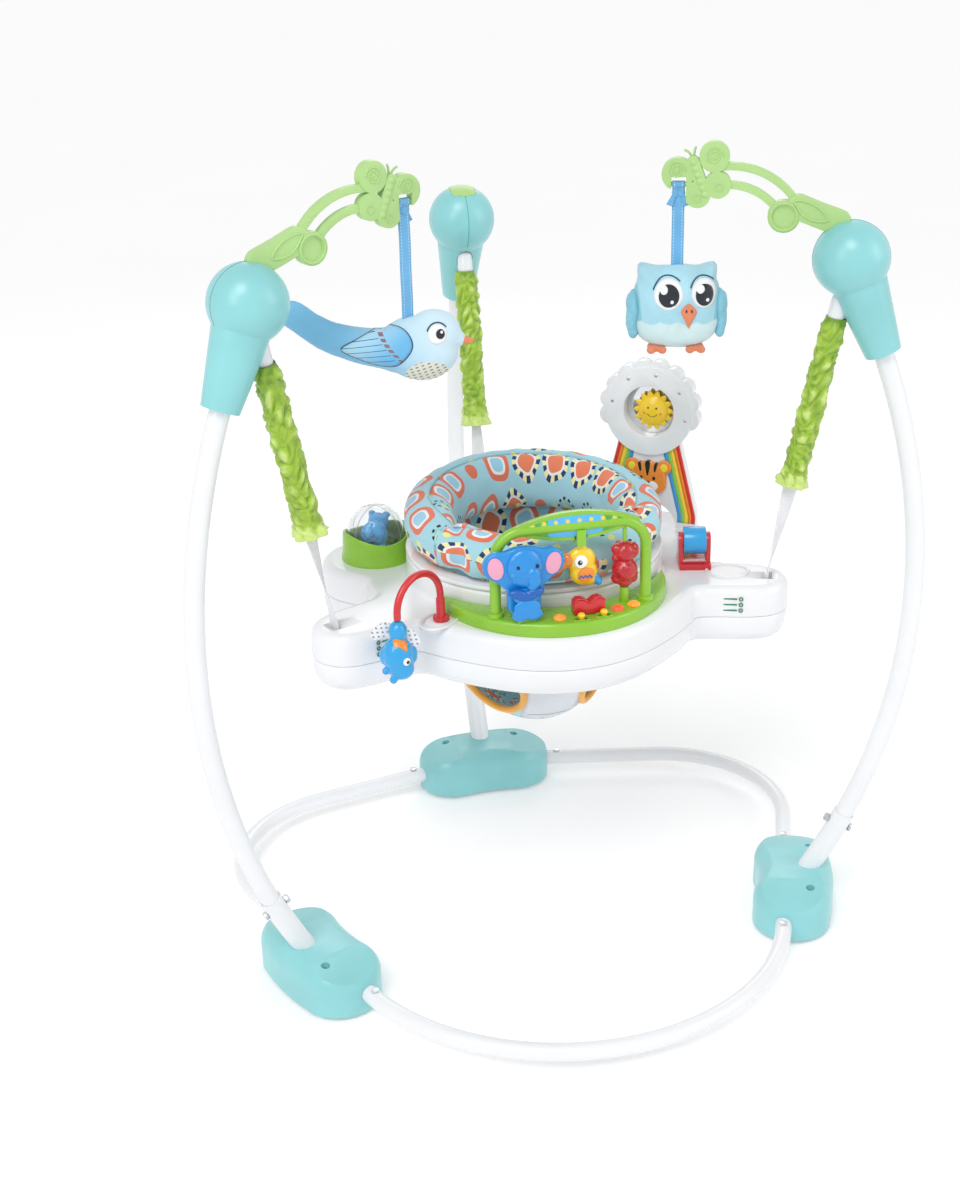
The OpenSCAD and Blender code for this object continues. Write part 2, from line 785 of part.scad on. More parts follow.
module owl_trim() {
  wing_t = 7;
  at_owl() {
    color([0.35, 0.7, 0.85]) for (s = [-1, 1])
      translate([s * (owl_half_w + wing_t / 2 + 0.3), 0, -8]) ball([wing_t / 2, 16, 26]);
    color([0.96, 0.6, 0.25]) {
      for (s = [-1, 1]) translate([s * 20, -6, -owl_half_h - 3.5]) ball([11, 12, 5]);
      translate([2, -pillow_face(owl_half_d) - 3.5, -6]) ball([6, 3.5, 9]);
    }
  }
}

module bird_body() color([0.6, 0.84, 0.94]) at_bird() pillow(bird_radii, bird_half_d);

module bird_trim() {
  at_bird() {
    color([0.95, 0.65, 0.55]) translate([60.5, 0, -4]) ball([6, 7, 6]);
    color([0.2, 0.55, 0.85]) translate([-8, -pillow_face(bird_half_d) - 3, 2]) ball([24, 3, 12]);
  }
}

// Springs, sleeves and straps on the line from each head to the tray
function coil_point(t, z, u) = let (r = coil_r + wire_r * cos(u))
  [r * cos(t), r * sin(t), z + wire_r * sin(u)];

module springs() {
  rings_per_turn = 8;
  sides = 6;
  turns = coil_turns + 0.75;
  steps = round(turns * rings_per_turn);
  pitch = spring_len / turns;
  echo(spring_turn_gap = pitch - 2 * wire_r);
  color(steel) for (p = [LEFT, RIGHT, BACK]) on_line(p, spring_start)
    loft([for (i = [0 : steps]) let (t = 90 + 360 * i / rings_per_turn, z = spring_len * i / steps)
      [for (j = [0 : sides - 1]) coil_point(t, z, 360 * j / sides)]]);
}

module spring_sleeves() {
  n = 18;
  m = 17;
  gathers = 8;
  flare = 0.86;
  bore = (max(coil_r + wire_r, strap_w / 2) + 0.6) / cos(180 / n);
  function swell(v, a) = sleeve_r + 1.3 * sin(360 * gathers * v + 2 * a) + 0.7 * cos(3 * a + 500 * v)
    + (v > flare ? (hem_r - sleeve_r) * pow((v - flare) / (1 - flare), 1.5) : 0);
  outside = [for (i = [0 : m]) let (v = i / m)
    [for (j = [0 : n - 1]) let (a = -360 * j / n, r = swell(v, a)) [r * cos(a), r * sin(a), v * sleeve_len]]];
  inside = [for (i = [0 : 2]) [for (j = [0 : n - 1]) let (a = -360 * j / n)
    [bore * cos(a), bore * sin(a), (2 - i) / 2 * sleeve_len]]];
  color([0.66, 0.84, 0.3]) for (p = [LEFT, RIGHT, BACK])
    on_line(p, sleeve_start) hoop(concat(outside, inside));
}

strap_floor_z = tray_seam_z - 8;

// The strap turns a quarter between the spring and the slot, then runs straight down into the arm
module straps() {
  steps = 10;
  function strap_ring(q, at, across) = [for (c = [[-1, -1], [1, -1], [1, 1], [-1, 1]])
    let (u = c[0] * strap_w / 2, v = c[1] * strap_t / 2, w = u * cos(q) - v * sin(q))
    [at[0] + w * across[0], u * sin(q) + v * cos(q), at[1] + w * across[1]]];
  function line_at(p, s) = [pin_dist(p), pin_height(p)] + s / line_len(p) * [line_dx(p), line_dz(p)];
  color(white) for (p = [LEFT, RIGHT, BACK]) turn(p) loft([
    for (i = [0 : steps])
      strap_ring(90 * i / steps, line_at(p, strap_start + (line_len(p) - strap_start) * i / steps),
        [-line_dz(p), line_dx(p)] / line_len(p)),
    strap_ring(90, [slot_reach, strap_floor_z + fit + 0.1], [1, 0])
  ]);
}

// Tray shells
tray_screw_spots = concat(
  [for (p = [LEFT, RIGHT, BACK]) 232 * [cos(post_angle[p]), sin(post_angle[p])]],
  [for (a = [lobe_angle, 180 - lobe_angle]) lobe_reach * [cos(a), sin(a)]]
);
boss_r = 6;

module tray_plan(g) {
  circle(tray_r - g, $fn = 128);
  translate([0, -front_y]) circle(front_r - g, $fn = 128);
  for (p = [LEFT, RIGHT, BACK]) rotate(post_angle[p]) link([0, 0], [arm_reach - arm_w / 2, 0], arm_w - 2 * g);
  for (a = [lobe_angle, 180 - lobe_angle]) rotate(a) translate([lobe_reach, 0]) circle(lobe_r - g);
}

module tray_bosses() {
  for (s = tray_screw_spots) translate([s[0], s[1], tray_low_z])
    cylinder(r = boss_r, h = tray_top_z - tray_low_z);
}

module tray_top() {
  color(white) difference() {
    translate([0, 0, tray_seam_z]) {
      linear_extrude(tray_top_z - tray_seam_z) tray_plan(0);
      cylinder(r = collar_r, h = collar_z - tray_seam_z, $fn = 128);
    }
    difference() {
      translate([0, 0, tray_seam_z - eps]) {
        linear_extrude(tray_top_z - tray_seam_z - tray_wall) tray_plan(tray_wall);
        cylinder(r = collar_r - tray_wall, h = collar_z - tray_seam_z - tray_wall, $fn = 128);
      }
      cylinder(r = bore_r + tray_wall, h = 2 * tray_top_z, $fn = 128);
      tray_bosses();
    }
    cylinder(r = bore_r, h = 2 * tray_top_z, $fn = 128);
    for (p = [LEFT, RIGHT, BACK]) turn(p)
      translate([slot_reach - 5, -strap_w / 2 - 1.5, tray_top_z - 2 * tray_wall])
        cube([10, strap_w + 3, 4 * tray_wall]);
    for (s = tray_screw_spots) translate([s[0], s[1], 0]) cylinder(r = screw_r + fit, h = tray_seam_z + 20);
    at_stalk() cylinder(r = stalk_r + pivot_run + 1, h = 4 * tray_wall, center = true);
  }
}

battery_size = [64, 34];
battery_y = -172;

module battery_plan(g) {
  translate([0, battery_y]) square(battery_size - [2 * g, 2 * g], center = true);
}

module tray_bottom() {
  depth = tray_seam_z - seam - tray_low_z;
  color(white) difference() {
    translate([0, 0, tray_low_z]) linear_extrude(depth) tray_plan(0);
    difference() {
      translate([0, 0, tray_low_z + tray_wall]) linear_extrude(depth) tray_plan(tray_wall);
      cylinder(r = bore_r + tray_wall, h = tray_top_z, $fn = 128);
      tray_bosses();
      for (p = [LEFT, RIGHT, BACK]) turn(p) translate([slot_reach - 6, -strap_w / 2 - 2, 0])
        cube([12, strap_w + 4, strap_floor_z]);
    }
    cylinder(r = bore_r, h = tray_top_z, $fn = 128);
    linear_extrude(tray_low_z + 2 * tray_wall) battery_plan(0);
    for (s = tray_screw_spots) translate([s[0], s[1], 0]) {
      cylinder(r = screw_r + fit, h = tray_top_z);
      cylinder(r = screw_head_r + fit, h = tray_low_z + 10);
    }
  }
}

module tray_screws() {
  color(steel) for (s = tray_screw_spots) translate([s[0], s[1], tray_low_z + 10 - fit])
    mirror([0, 0, 1]) screw(38);
}

module battery_door() {
  color(white) translate([0, 0, tray_low_z]) linear_extrude(tray_wall) battery_plan(run);
}

// Seat: a ring that turns in the collar, a padded roll and a hanging cloth seat
module seat_ring() {
  skirt_r = bore_r - run;
  color(white) rotate_extrude($fn = 128) {
    translate([skirt_r - ring_wall, tray_top_z]) square([ring_wall, collar_h + run + flange_t]);
    translate([skirt_r - ring_wall, flange_z]) square([collar_r - skirt_r + ring_wall, flange_t]);
  }
}

sling_r = bore_r - run - ring_wall - 0.3;
sling_top_z = flange_z + flange_t;

module seat_sling() {
  depth = sling_top_z - sling_low_z;
  leg_z = sling_low_z + 72;
  color(cloth) difference() {
    translate([0, 0, sling_top_z]) rotate_extrude($fn = 128) intersection() {
      difference() {
        scale([sling_r / 10, depth / 10]) circle(10);
        scale([(sling_r - sling_t) / 10, (depth - sling_t) / 10]) circle(10);
      }
      translate([0, -2 * depth]) square([2 * sling_r, 2 * depth]);
    }
    for (s = [-1, 1]) translate([0, 0, leg_z]) rotate([0, 0, s * 52]) rotate([90, 0, 0])
      cylinder(r = leg_r, h = 2 * sling_r);
  }
}

module seat_pad() {
  n = 16;
  m = 40;
  half = (pad_reach - pad_inner) / 2;
  function pad_top(a) = pad_front_z + (pad_back_z - pad_front_z) * pow((1 + sin(a)) / 2, 1.3)
    - 12 * (bump(a, 208, 9) + bump(a, 332, 9));
  function pad_point(a, q) = let (
    h = (pad_top(a) - pad_low_z) / 2,
    pinch = 5 * (bump(a, 208, 9) + bump(a, 332, 9)),
    x = sign(cos(q)) * pow(abs(cos(q)), 0.75),
    z = sign(sin(q)) * pow(abs(sin(q)), 0.75),
    r = pad_inner + half + (half - pinch) * x + 6 * (z + 1) * (x > 0 ? 0 : 1)
  ) [r * cos(a), r * sin(a), pad_low_z + h + h * z];
  color(cloth) hoop([for (i = [0 : m - 1]) [for (j = [0 : n - 1]) pad_point(360 * i / m, 360 * j / n)]]);
}

// Front toy panel
module panel_solid(g, low) {
  difference() {
    translate([0, -front_y, low]) slab(panel_r - g, panel_top_z - low - g, panel_edge - g);
    cylinder(r = swing_r + g, h = 2 * panel_top_z);
  }
}

module switch_slots(g) {
  for (s = switch_spots) translate([s[0], s[1], panel_top_z])
    cube([switch_stem[0] + switch_travel + 2 * g, switch_stem[1] + 2 * g, 4 * panel_wall], center = true);
}

module elephant_fork() {
  fork_t = 4;
  fork_low_z = panel_top_z - panel_edge;
  fork_y = elephant_t / 2 + run + fork_t / 2;
  for (s = [-1, 1]) translate([elephant_x, elephant_y + s * fork_y, 0]) difference() {
    translate([-10, -fork_t / 2, fork_low_z]) cube([20, fork_t, elephant_z + 7 - fork_low_z]);
    translate([0, 0, elephant_z]) rotate([90, 0, 0])
      cylinder(r = axle_r + pivot_run, h = 2 * fork_t, center = true);
  }
}

module panel_base() {
  color(lime) {
    difference() {
      panel_solid(0, tray_top_z);
      panel_solid(panel_wall, tray_top_z - eps);
      switch_slots(run);
      for (s = lens_spots) translate([s[0], s[1], tray_top_z]) cylinder(r = lens_r - 2, h = 2 * panel_h);
    }
    elephant_fork();
  }
}

module panel_arch() {
  turn_r = 30;
  half = arch_half - turn_r;
  color(lime) translate([0, -arch_y, 0]) difference() {
    union() {
      for (m = [0, 1]) mirror([m, 0, 0]) {
        translate([arch_half, 0, panel_top_z]) cylinder(r = arch_bar_r, h = arch_h - turn_r);
        translate([arch_half, 0, panel_top_z]) cylinder(r = arch_bar_r + 3, h = 5);
        translate([half, 0, arch_top_z - turn_r]) rotate([90, 0, 0])
          rotate_extrude(angle = 90) translate([turn_r, 0]) circle(arch_bar_r);
      }
      translate([-half, 0, arch_top_z]) rotate([0, 90, 0]) cylinder(r = arch_bar_r, h = 2 * half);
      upright(7) translate([4, arch_top_z + 1]) intersection() {
        translate([0, -160]) circle(176);
        translate([0, 160]) circle(176);
      }
      for (s = [-1, 1]) translate([parrot_x - 5, s * (hanger_gap / 2 + 1.5) - 1.5, parrot_z - 4])
        cube([10, 3, arch_top_z - parrot_z]);
      translate([parrot_x, 0, parrot_z]) rotate([90, 0, 0])
        cylinder(r = hanger_pin_r, h = hanger_gap + 2, center = true);
      translate([spinner_x, 0, panel_top_z]) {
        cylinder(r = axle_r, h = arch_h);
        cylinder(r = 5, h = spinner_z - 26 - panel_top_z - 0.3);
      }
    }
    translate([parrot_x - 7, -hanger_gap / 2, parrot_z + 2]) cube([14, hanger_gap, 7]);
  }
}

module elephant() {
  color(sky) translate([elephant_x, elephant_y, elephant_z]) {
    upright(elephant_t) {
      translate([0, 48]) circle(23);
      for (s = [-1, 1]) translate([s * 26, 50]) circle(18);
      link([0, 12], [0, 34], 36);
      link([-14, 22], [14, 22], 18);
      circle(7);
    }
    rotate([90, 0, 0]) cylinder(r = axle_r, h = elephant_t + 2 * run + 8, center = true);
    translate([4, -elephant_t / 2, 38]) ball([9, 7, 13]);
  }
}

module parrot() {
  color(yellow) translate([parrot_x, -arch_y, parrot_z]) difference() {
    union() {
      upright(hanger_gap - 2 * run) link([0, 0], [0, -14], 10);
      upright(11) {
        translate([0, -24]) circle(17);
        translate([4, -40]) circle(15);
        translate([-18, -26]) circle(10);
        translate([17, -46]) circle(7);
      }
    }
    rotate([90, 0, 0]) cylinder(r = hanger_pin_r + pivot_run, h = 20, center = true);
  }
}

module perch() {
  color(red) translate([parrot_x + 4 - perch_size[0] / 2, -arch_y - 10 - perch_size[1], panel_top_z]) {
    cube([perch_size[0], perch_size[1], perch_size[2] - 8]);
    translate([0, perch_size[1] / 2, perch_size[2] - 8]) rotate([0, 90, 0])
      cylinder(r = perch_size[1] / 2, h = perch_size[0]);
  }
}

module red_spinner() {
  color(red) translate([spinner_x, -arch_y, spinner_z]) difference() {
    union() {
      translate([0, 0, 14]) sphere(13);
      translate([0, 0, -6]) sphere(15);
      for (s = [-1, 1]) {
        translate([s * 9.5, 0, 18]) sphere(6);
        translate([s * 8.5, 0, -16]) sphere(7);
      }
      translate([0, 0, -26]) cylinder(r = 9, h = 12);
    }
    cylinder(r = axle_r + pivot_run, h = 100, center = true);
  }
}

module light_lenses() {
  color([0.98, 0.55, 0.15]) for (s = lens_spots) translate([s[0], s[1], panel_top_z]) {
    translate([0, 0, fit]) intersection() {
      translate([0, 0, 2 - lens_r]) sphere(lens_r * 1.35);
      cylinder(r = lens_r, h = lens_r);
    }
    translate([0, 0, -panel_wall - 2]) cylinder(r = lens_r - 2 - fit, h = panel_wall + 3);
  }
}

module switch(i) {
  color(yellow) translate([switch_spots[i][0], switch_spots[i][1], panel_top_z]) {
    translate([0, 0, switch_size[2] / 2 + run]) cube(switch_size, center = true);
    translate([0, 0, -panel_wall / 2]) cube([switch_stem[0], switch_stem[1], panel_wall + 4], center = true);
    translate([0, 0, -panel_wall - run - switch_plate / 2])
      cube([switch_size[0], switch_size[1], switch_plate], center = true);
  }
}

module sound_module() {
  board = [72, 22, 1.6];
  board_z = 2.4;
  color([0.1, 0.35, 0.2]) translate([-6, -179, tray_top_z]) {
    translate([-board[0] / 2, -board[1] / 2, board_z]) cube(board);
    for (x = [-1, 1], y = [-1, 1]) translate([x * (board[0] / 2 - 4), y * (board[1] / 2 - 4), 0])
      cylinder(r = 2, h = board_z + 0.5);
    translate([-20, 0, board_z]) cylinder(r = 10, h = 5);
  }
}

// Dome toy
module dome_base() {
  color(lime) at_lobe(-1) difference() {
    union() {
      cylinder(r1 = dome_foot_r - 0.6, r2 = dome_r + 4, h = dome_z - tray_top_z + 2);
      cylinder(r = dome_foot_r, h = 4);
    }
    translate([0, 0, dome_z - tray_top_z]) sphere(dome_r + 0.3, $fn = 96);
  }
}

module dome_cover() {
  boss = 5;
  color([0.85, 0.92, 0.95, 0.4]) at_lobe(-1) translate([0, 0, dome_z - tray_top_z]) difference() {
    union() {
      difference() {
        sphere(dome_r, $fn = 96);
        sphere(dome_r - dome_wall, $fn = 96);
      }
      intersection() {
        sphere(dome_r - dome_wall / 2, $fn = 96);
        for (s = [-1, 1]) translate([0, s * (dome_r - boss / 2 - dome_wall), 0]) rotate([90, 0, 0])
          cylinder(r = axle_r + 2.5, h = boss + 2, center = true);
      }
    }
    rotate([90, 0, 0]) cylinder(r = axle_r + pivot_run, h = 2 * (dome_r - dome_wall), center = true);
    translate([0, 0, -2 * dome_r - 16]) cylinder(r = 2 * dome_r, h = 2 * dome_r);
  }
}

module dome_spinner() {
  color(sky) at_lobe(-1) translate([0, 0, dome_z - tray_top_z]) {
    rotate([90, 0, 0]) cylinder(r = axle_r, h = 2 * (dome_r - dome_wall) - 1, center = true);
    translate([0, 6, 0]) sphere(13);
    translate([0, -9, 7]) sphere(10);
    for (s = [-1, 1]) {
      translate([s * 8, 12, -10]) sphere(5);
      translate([s * 7, -12, 14]) sphere(4);
    }
  }
}

// Mirror tower
tower_t = 12;
tower_foot = 60;
tower_neck = 36;
sun_r = 24;
mirror_hole_r = 31;
sun_shift = -4;

module mirror_tower() {
  color(white) at_tower() difference() {
    union() {
      upright(tower_t) difference() {
        polygon([[-tower_foot, 0], [tower_foot, 0], [tower_foot, 22], [tower_neck, mirror_h - 30],
          [-tower_neck, mirror_h - 30], [-tower_foot, 22]]);
        circle(tower_foot - 24);
      }
      translate([-tower_foot, -tower_t, 0]) cube([24, 2 * tower_t, 5]);
      translate([tower_foot - 24, -tower_t, 0]) cube([24, 2 * tower_t, 5]);
    }
    translate([0, 0, mirror_h]) rotate([90, 0, 0])
      cylinder(r = mirror_r + fit, h = 2 * mirror_t, center = true);
  }
}

module mirror_ring() {
  lobes = 10;
  color(white) at_tower() translate([0, 0, mirror_h]) rotate([-90, 0, 0]) difference() {
    union() {
      cylinder(r = mirror_r, h = mirror_t, center = true);
      for (i = [0 : lobes - 1]) let (a = 90 + (i - (lobes - 1) / 2) * 22 + 180)
        translate((mirror_r - 4) * [cos(a), sin(a), 0]) cylinder(r = 12, h = mirror_t - 4, center = true);
    }
    translate([0, 0, -mirror_t / 2 + 4]) cylinder(r = mirror_hole_r, h = mirror_t);
  }
}

module mirror_disc() {
  color([0.8, 0.83, 0.86]) at_tower() translate([0, 0, mirror_h]) rotate([-90, 0, 0])
    translate([0, 0, -mirror_t / 2 + 4 + fit]) difference() {
      cylinder(r = mirror_hole_r - fit, h = 2);
      translate([sun_shift, 0, -1]) cylinder(r = axle_r + pivot_run, h = 4);
    }
}

module sun_spinner() {
  rays = 12;
  color(yellow) at_tower() translate([sun_shift, 0, mirror_h]) rotate([-90, 0, 0]) {
    translate([0, 0, -mirror_t / 2 + 4 + fit + 2 + run]) cylinder(r = 6, h = 6);
    translate([0, 0, -mirror_t / 2 + 4 + fit]) cylinder(r = axle_r, h = 6);
    translate([0, 0, -mirror_t / 2 + 12]) {
      cylinder(r = sun_r - 5, h = 4);
      for (i = [0 : rays - 1]) rotate([0, 0, 360 * i / rays])
        translate([sun_r - 5, 0, 0]) cylinder(r = 4.4, h = 3);
    }
  }
}

module tiger_panel() {
  color([0.95, 0.6, 0.2]) at_tower() translate([0, tower_t / 2 + 0.1 + 2.5, 66]) upright(5) {
    circle(22);
    for (s = [-1, 1]) translate([s * 20, 15]) circle(9);
  }
}

// Roller
module roller_cradle() {
  cheek = 5;
  inner = drum_len / 2 + run;
  color(red) at_roller() difference() {
    union() {
      translate([-inner - cheek, -drum_r - 3, tray_top_z]) cube([2 * (inner + cheek), 2 * drum_r + 6, 7]);
      for (s = [-1, 1]) translate([s * (inner + cheek / 2), 0, drum_z]) rotate([0, 90, 0])
        cylinder(r = 10, h = cheek, center = true);
      for (s = [-1, 1]) translate([s * (inner + cheek / 2) - cheek / 2, -10, tray_top_z])
        cube([cheek, 20, drum_z - tray_top_z]);
    }
    translate([0, 0, drum_z]) rotate([0, 90, 0])
      cylinder(r = axle_r + pivot_run, h = 4 * drum_len, center = true);
  }
}

module roller_drum() {
  color(sky) at_roller() translate([0, 0, drum_z]) rotate([0, 90, 0]) {
    cylinder(r = drum_r, h = drum_len, center = true);
    cylinder(r = axle_r, h = drum_len + 2 * run + 10, center = true);
  }
}

// Tether toy
module tether_stalk() {
  color(red) at_stalk() {
    translate([0, 0, -2 * tray_wall]) cylinder(r = stalk_r + 1, h = 2 * tray_wall + stalk_rise);
    translate([0, 0, run]) cylinder(r = stalk_r + 5, h = 5);
    translate([0, 0, stalk_rise - eps]) cylinder(r = stalk_r, h = 4 + eps);
    translate([stalk_bow, 0, stalk_rise + 4]) rotate([90, 0, 0])
      rotate_extrude(angle = 180) translate([stalk_bow, 0]) circle(stalk_r);
    translate([2 * stalk_bow, 0, stalk_rise + 4 - tether_drop]) cylinder(r = stalk_r, h = tether_drop + eps);
  }
}

module tether_toy() {
  color(sky) at_stalk() translate([2 * stalk_bow, 0, stalk_rise + 4 - tether_drop - 0.3]) {
    translate([0, 0, -14]) ball([11, 12, 13.7]);
    translate([2, 0, -42]) ball([17, 18, 23]);
    translate([-2, -2, -62]) ball([12, 13, 9]);
    for (s = [-1, 1]) translate([-4, s * 17, -44]) ball([8, 5, 11]);
  }
}

base_tube_front();
base_tube_left();
base_tube_right();
post(LEFT);  // post_left
post(RIGHT);  // post_right
post(BACK);  // post_back
post_stubs();
foot(LEFT);  // foot_left
foot(RIGHT);  // foot_right
foot(BACK);  // foot_back
foot_pads();
frame_screws();
head_half(LEFT, 1);  // head_left_front
head_half(LEFT, -1);  // head_left_rear
head_half(RIGHT, -1);  // head_right_front
head_half(RIGHT, 1);  // head_right_rear
head_half(BACK, 1);  // head_back_left
head_half(BACK, -1);  // head_back_right
spring_pins();
arm_slot_cap();
toy_arm(LEFT);  // toy_arm_left
toy_arm(RIGHT);  // toy_arm_right
ribbon(LEFT, bird_drop);  // bird_ribbon
ribbon(RIGHT, owl_drop);  // owl_ribbon
bird_body();
bird_trim();
owl_body();
owl_trim();
springs();
spring_sleeves();
straps();
tray_top();
tray_bottom();
tray_screws();
battery_door();
seat_ring();
seat_pad();
seat_sling();
panel_base();
panel_arch();
elephant();
parrot();
perch();
red_spinner();
light_lenses();
switch(0);  // volume_switch
switch(1);  // mode_switch
sound_module();
dome_base();
dome_cover();
dome_spinner();
mirror_tower();
mirror_ring();
mirror_disc();
sun_spinner();
tiger_panel();
roller_cradle();
roller_drum();
tether_stalk();
tether_toy();
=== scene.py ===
"""Looks for the baby jumper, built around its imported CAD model.

Places are written in millimetres in the part's own frame: +Z up, the front is -Y, the seat turns
about Z. A place matrix takes such millimetres to Blender's metres.
"""

import math

import bmesh
import bpy
import numpy as np
from mathutils import Matrix, Vector, noise
from mathutils.bvhtree import BVHTree


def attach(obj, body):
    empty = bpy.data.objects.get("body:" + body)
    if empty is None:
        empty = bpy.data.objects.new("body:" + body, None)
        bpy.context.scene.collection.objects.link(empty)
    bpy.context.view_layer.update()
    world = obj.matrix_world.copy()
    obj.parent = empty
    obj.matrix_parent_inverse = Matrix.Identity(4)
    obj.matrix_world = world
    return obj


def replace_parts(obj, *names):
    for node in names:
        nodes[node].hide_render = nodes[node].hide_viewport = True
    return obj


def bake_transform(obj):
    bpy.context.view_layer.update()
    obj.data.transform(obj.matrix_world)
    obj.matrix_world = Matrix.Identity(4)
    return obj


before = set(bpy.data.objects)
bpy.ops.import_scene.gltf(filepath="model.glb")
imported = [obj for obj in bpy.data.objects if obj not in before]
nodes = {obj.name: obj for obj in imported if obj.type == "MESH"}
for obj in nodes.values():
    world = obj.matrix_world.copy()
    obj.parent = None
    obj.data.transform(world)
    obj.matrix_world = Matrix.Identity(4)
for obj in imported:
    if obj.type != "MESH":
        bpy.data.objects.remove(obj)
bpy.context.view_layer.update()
scene = bpy.context.scene
rad = math.radians
MM = 0.001
TURN = 2 * math.pi
SIDES = ((-1, "left"), (1, "right"))

# Sizes that the part's source also holds, in mm and degrees
POSTS = {"left": 202, "right": 338, "back": 90}
PIN = {"left": (340.12, 791.38), "right": (340.12, 791.38), "back": (333.99, 765.01)}
BALL = {"left": (343.16, 805.48), "right": (343.16, 805.48), "back": (337.59, 778.98)}
SLOT_REACH, LINE_END_Z = 270, 445
TRAY_TOP, TRAY_SEAM, TRAY_LOW = 440, 404, 370
COLLAR_R, COLLAR_Z, BORE_R = 148, 468, 136
ARM_REACH, ARM_HALF = 294, 42
PANEL_TOP, ARCH_Y, ARCH_TOP = 455, -158, 549
LOBE, DOME_YAW, TOWER_YAW = (169.29, 86.26), 153, 146


def turned(degrees):
    return Matrix.Rotation(rad(degrees), 4, "Z")


def at(x=0.0, y=0.0, z=0.0, yaw=0.0):
    """A local frame in mm."""
    return Matrix.Translation((x * MM, y * MM, z * MM)) @ turned(yaw) @ Matrix.Scale(MM, 4)


WORLD = at()


def circle(steps):
    return np.linspace(0, TURN, steps, endpoint=False)


def arc(cx, cy, rx, ry, turns):
    """Points of an oval in its plane, at the angles in turns."""
    return [(cx + rx * math.cos(t), cy + ry * math.sin(t)) for t in turns]


def lengths(points):
    """How far along a line each of its points lies."""
    return np.concatenate([[0], np.cumsum(np.linalg.norm(np.diff(points, axis=0), axis=1))])


class Val:
    """A shader socket that takes arithmetic, so that a pattern reads as a formula."""

    def __init__(self, tree, socket):
        self.tree, self.socket = tree, socket

    def op(self, name, *others):
        n = self.tree.nodes.new("ShaderNodeMath")
        n.operation = name
        for i, o in enumerate((self, *others)):
            if isinstance(o, Val):
                self.tree.links.new(o.socket, n.inputs[i])
            else:
                n.inputs[i].default_value = o
        return Val(self.tree, n.outputs[0])

    def between(self, low, high):
        return (self > low) * (self < high)

    def ramp(self, low, high):
        n = self.tree.nodes.new("ShaderNodeMapRange")
        n.interpolation_type = "SMOOTHSTEP"
        self.tree.links.new(self.socket, n.inputs["Value"])
        n.inputs["From Min"].default_value = low
        n.inputs["From Max"].default_value = high
        return Val(self.tree, n.outputs["Result"])


def shader_method(operation):
    """A method of Val that adds one node of the shader's arithmetic."""
    return lambda value, *others: value.op(operation, *others)


MATHS = {"__add__": "ADD", "__sub__": "SUBTRACT", "__mul__": "MULTIPLY", "__truediv__": "DIVIDE",
         "__pow__": "POWER", "__lt__": "LESS_THAN", "__gt__": "GREATER_THAN", "__abs__": "ABSOLUTE",
         "floor": "FLOOR", "fract": "FRACT", "sin": "SINE", "cos": "COSINE"}
for method, operation in MATHS.items():
    setattr(Val, method, shader_method(operation))


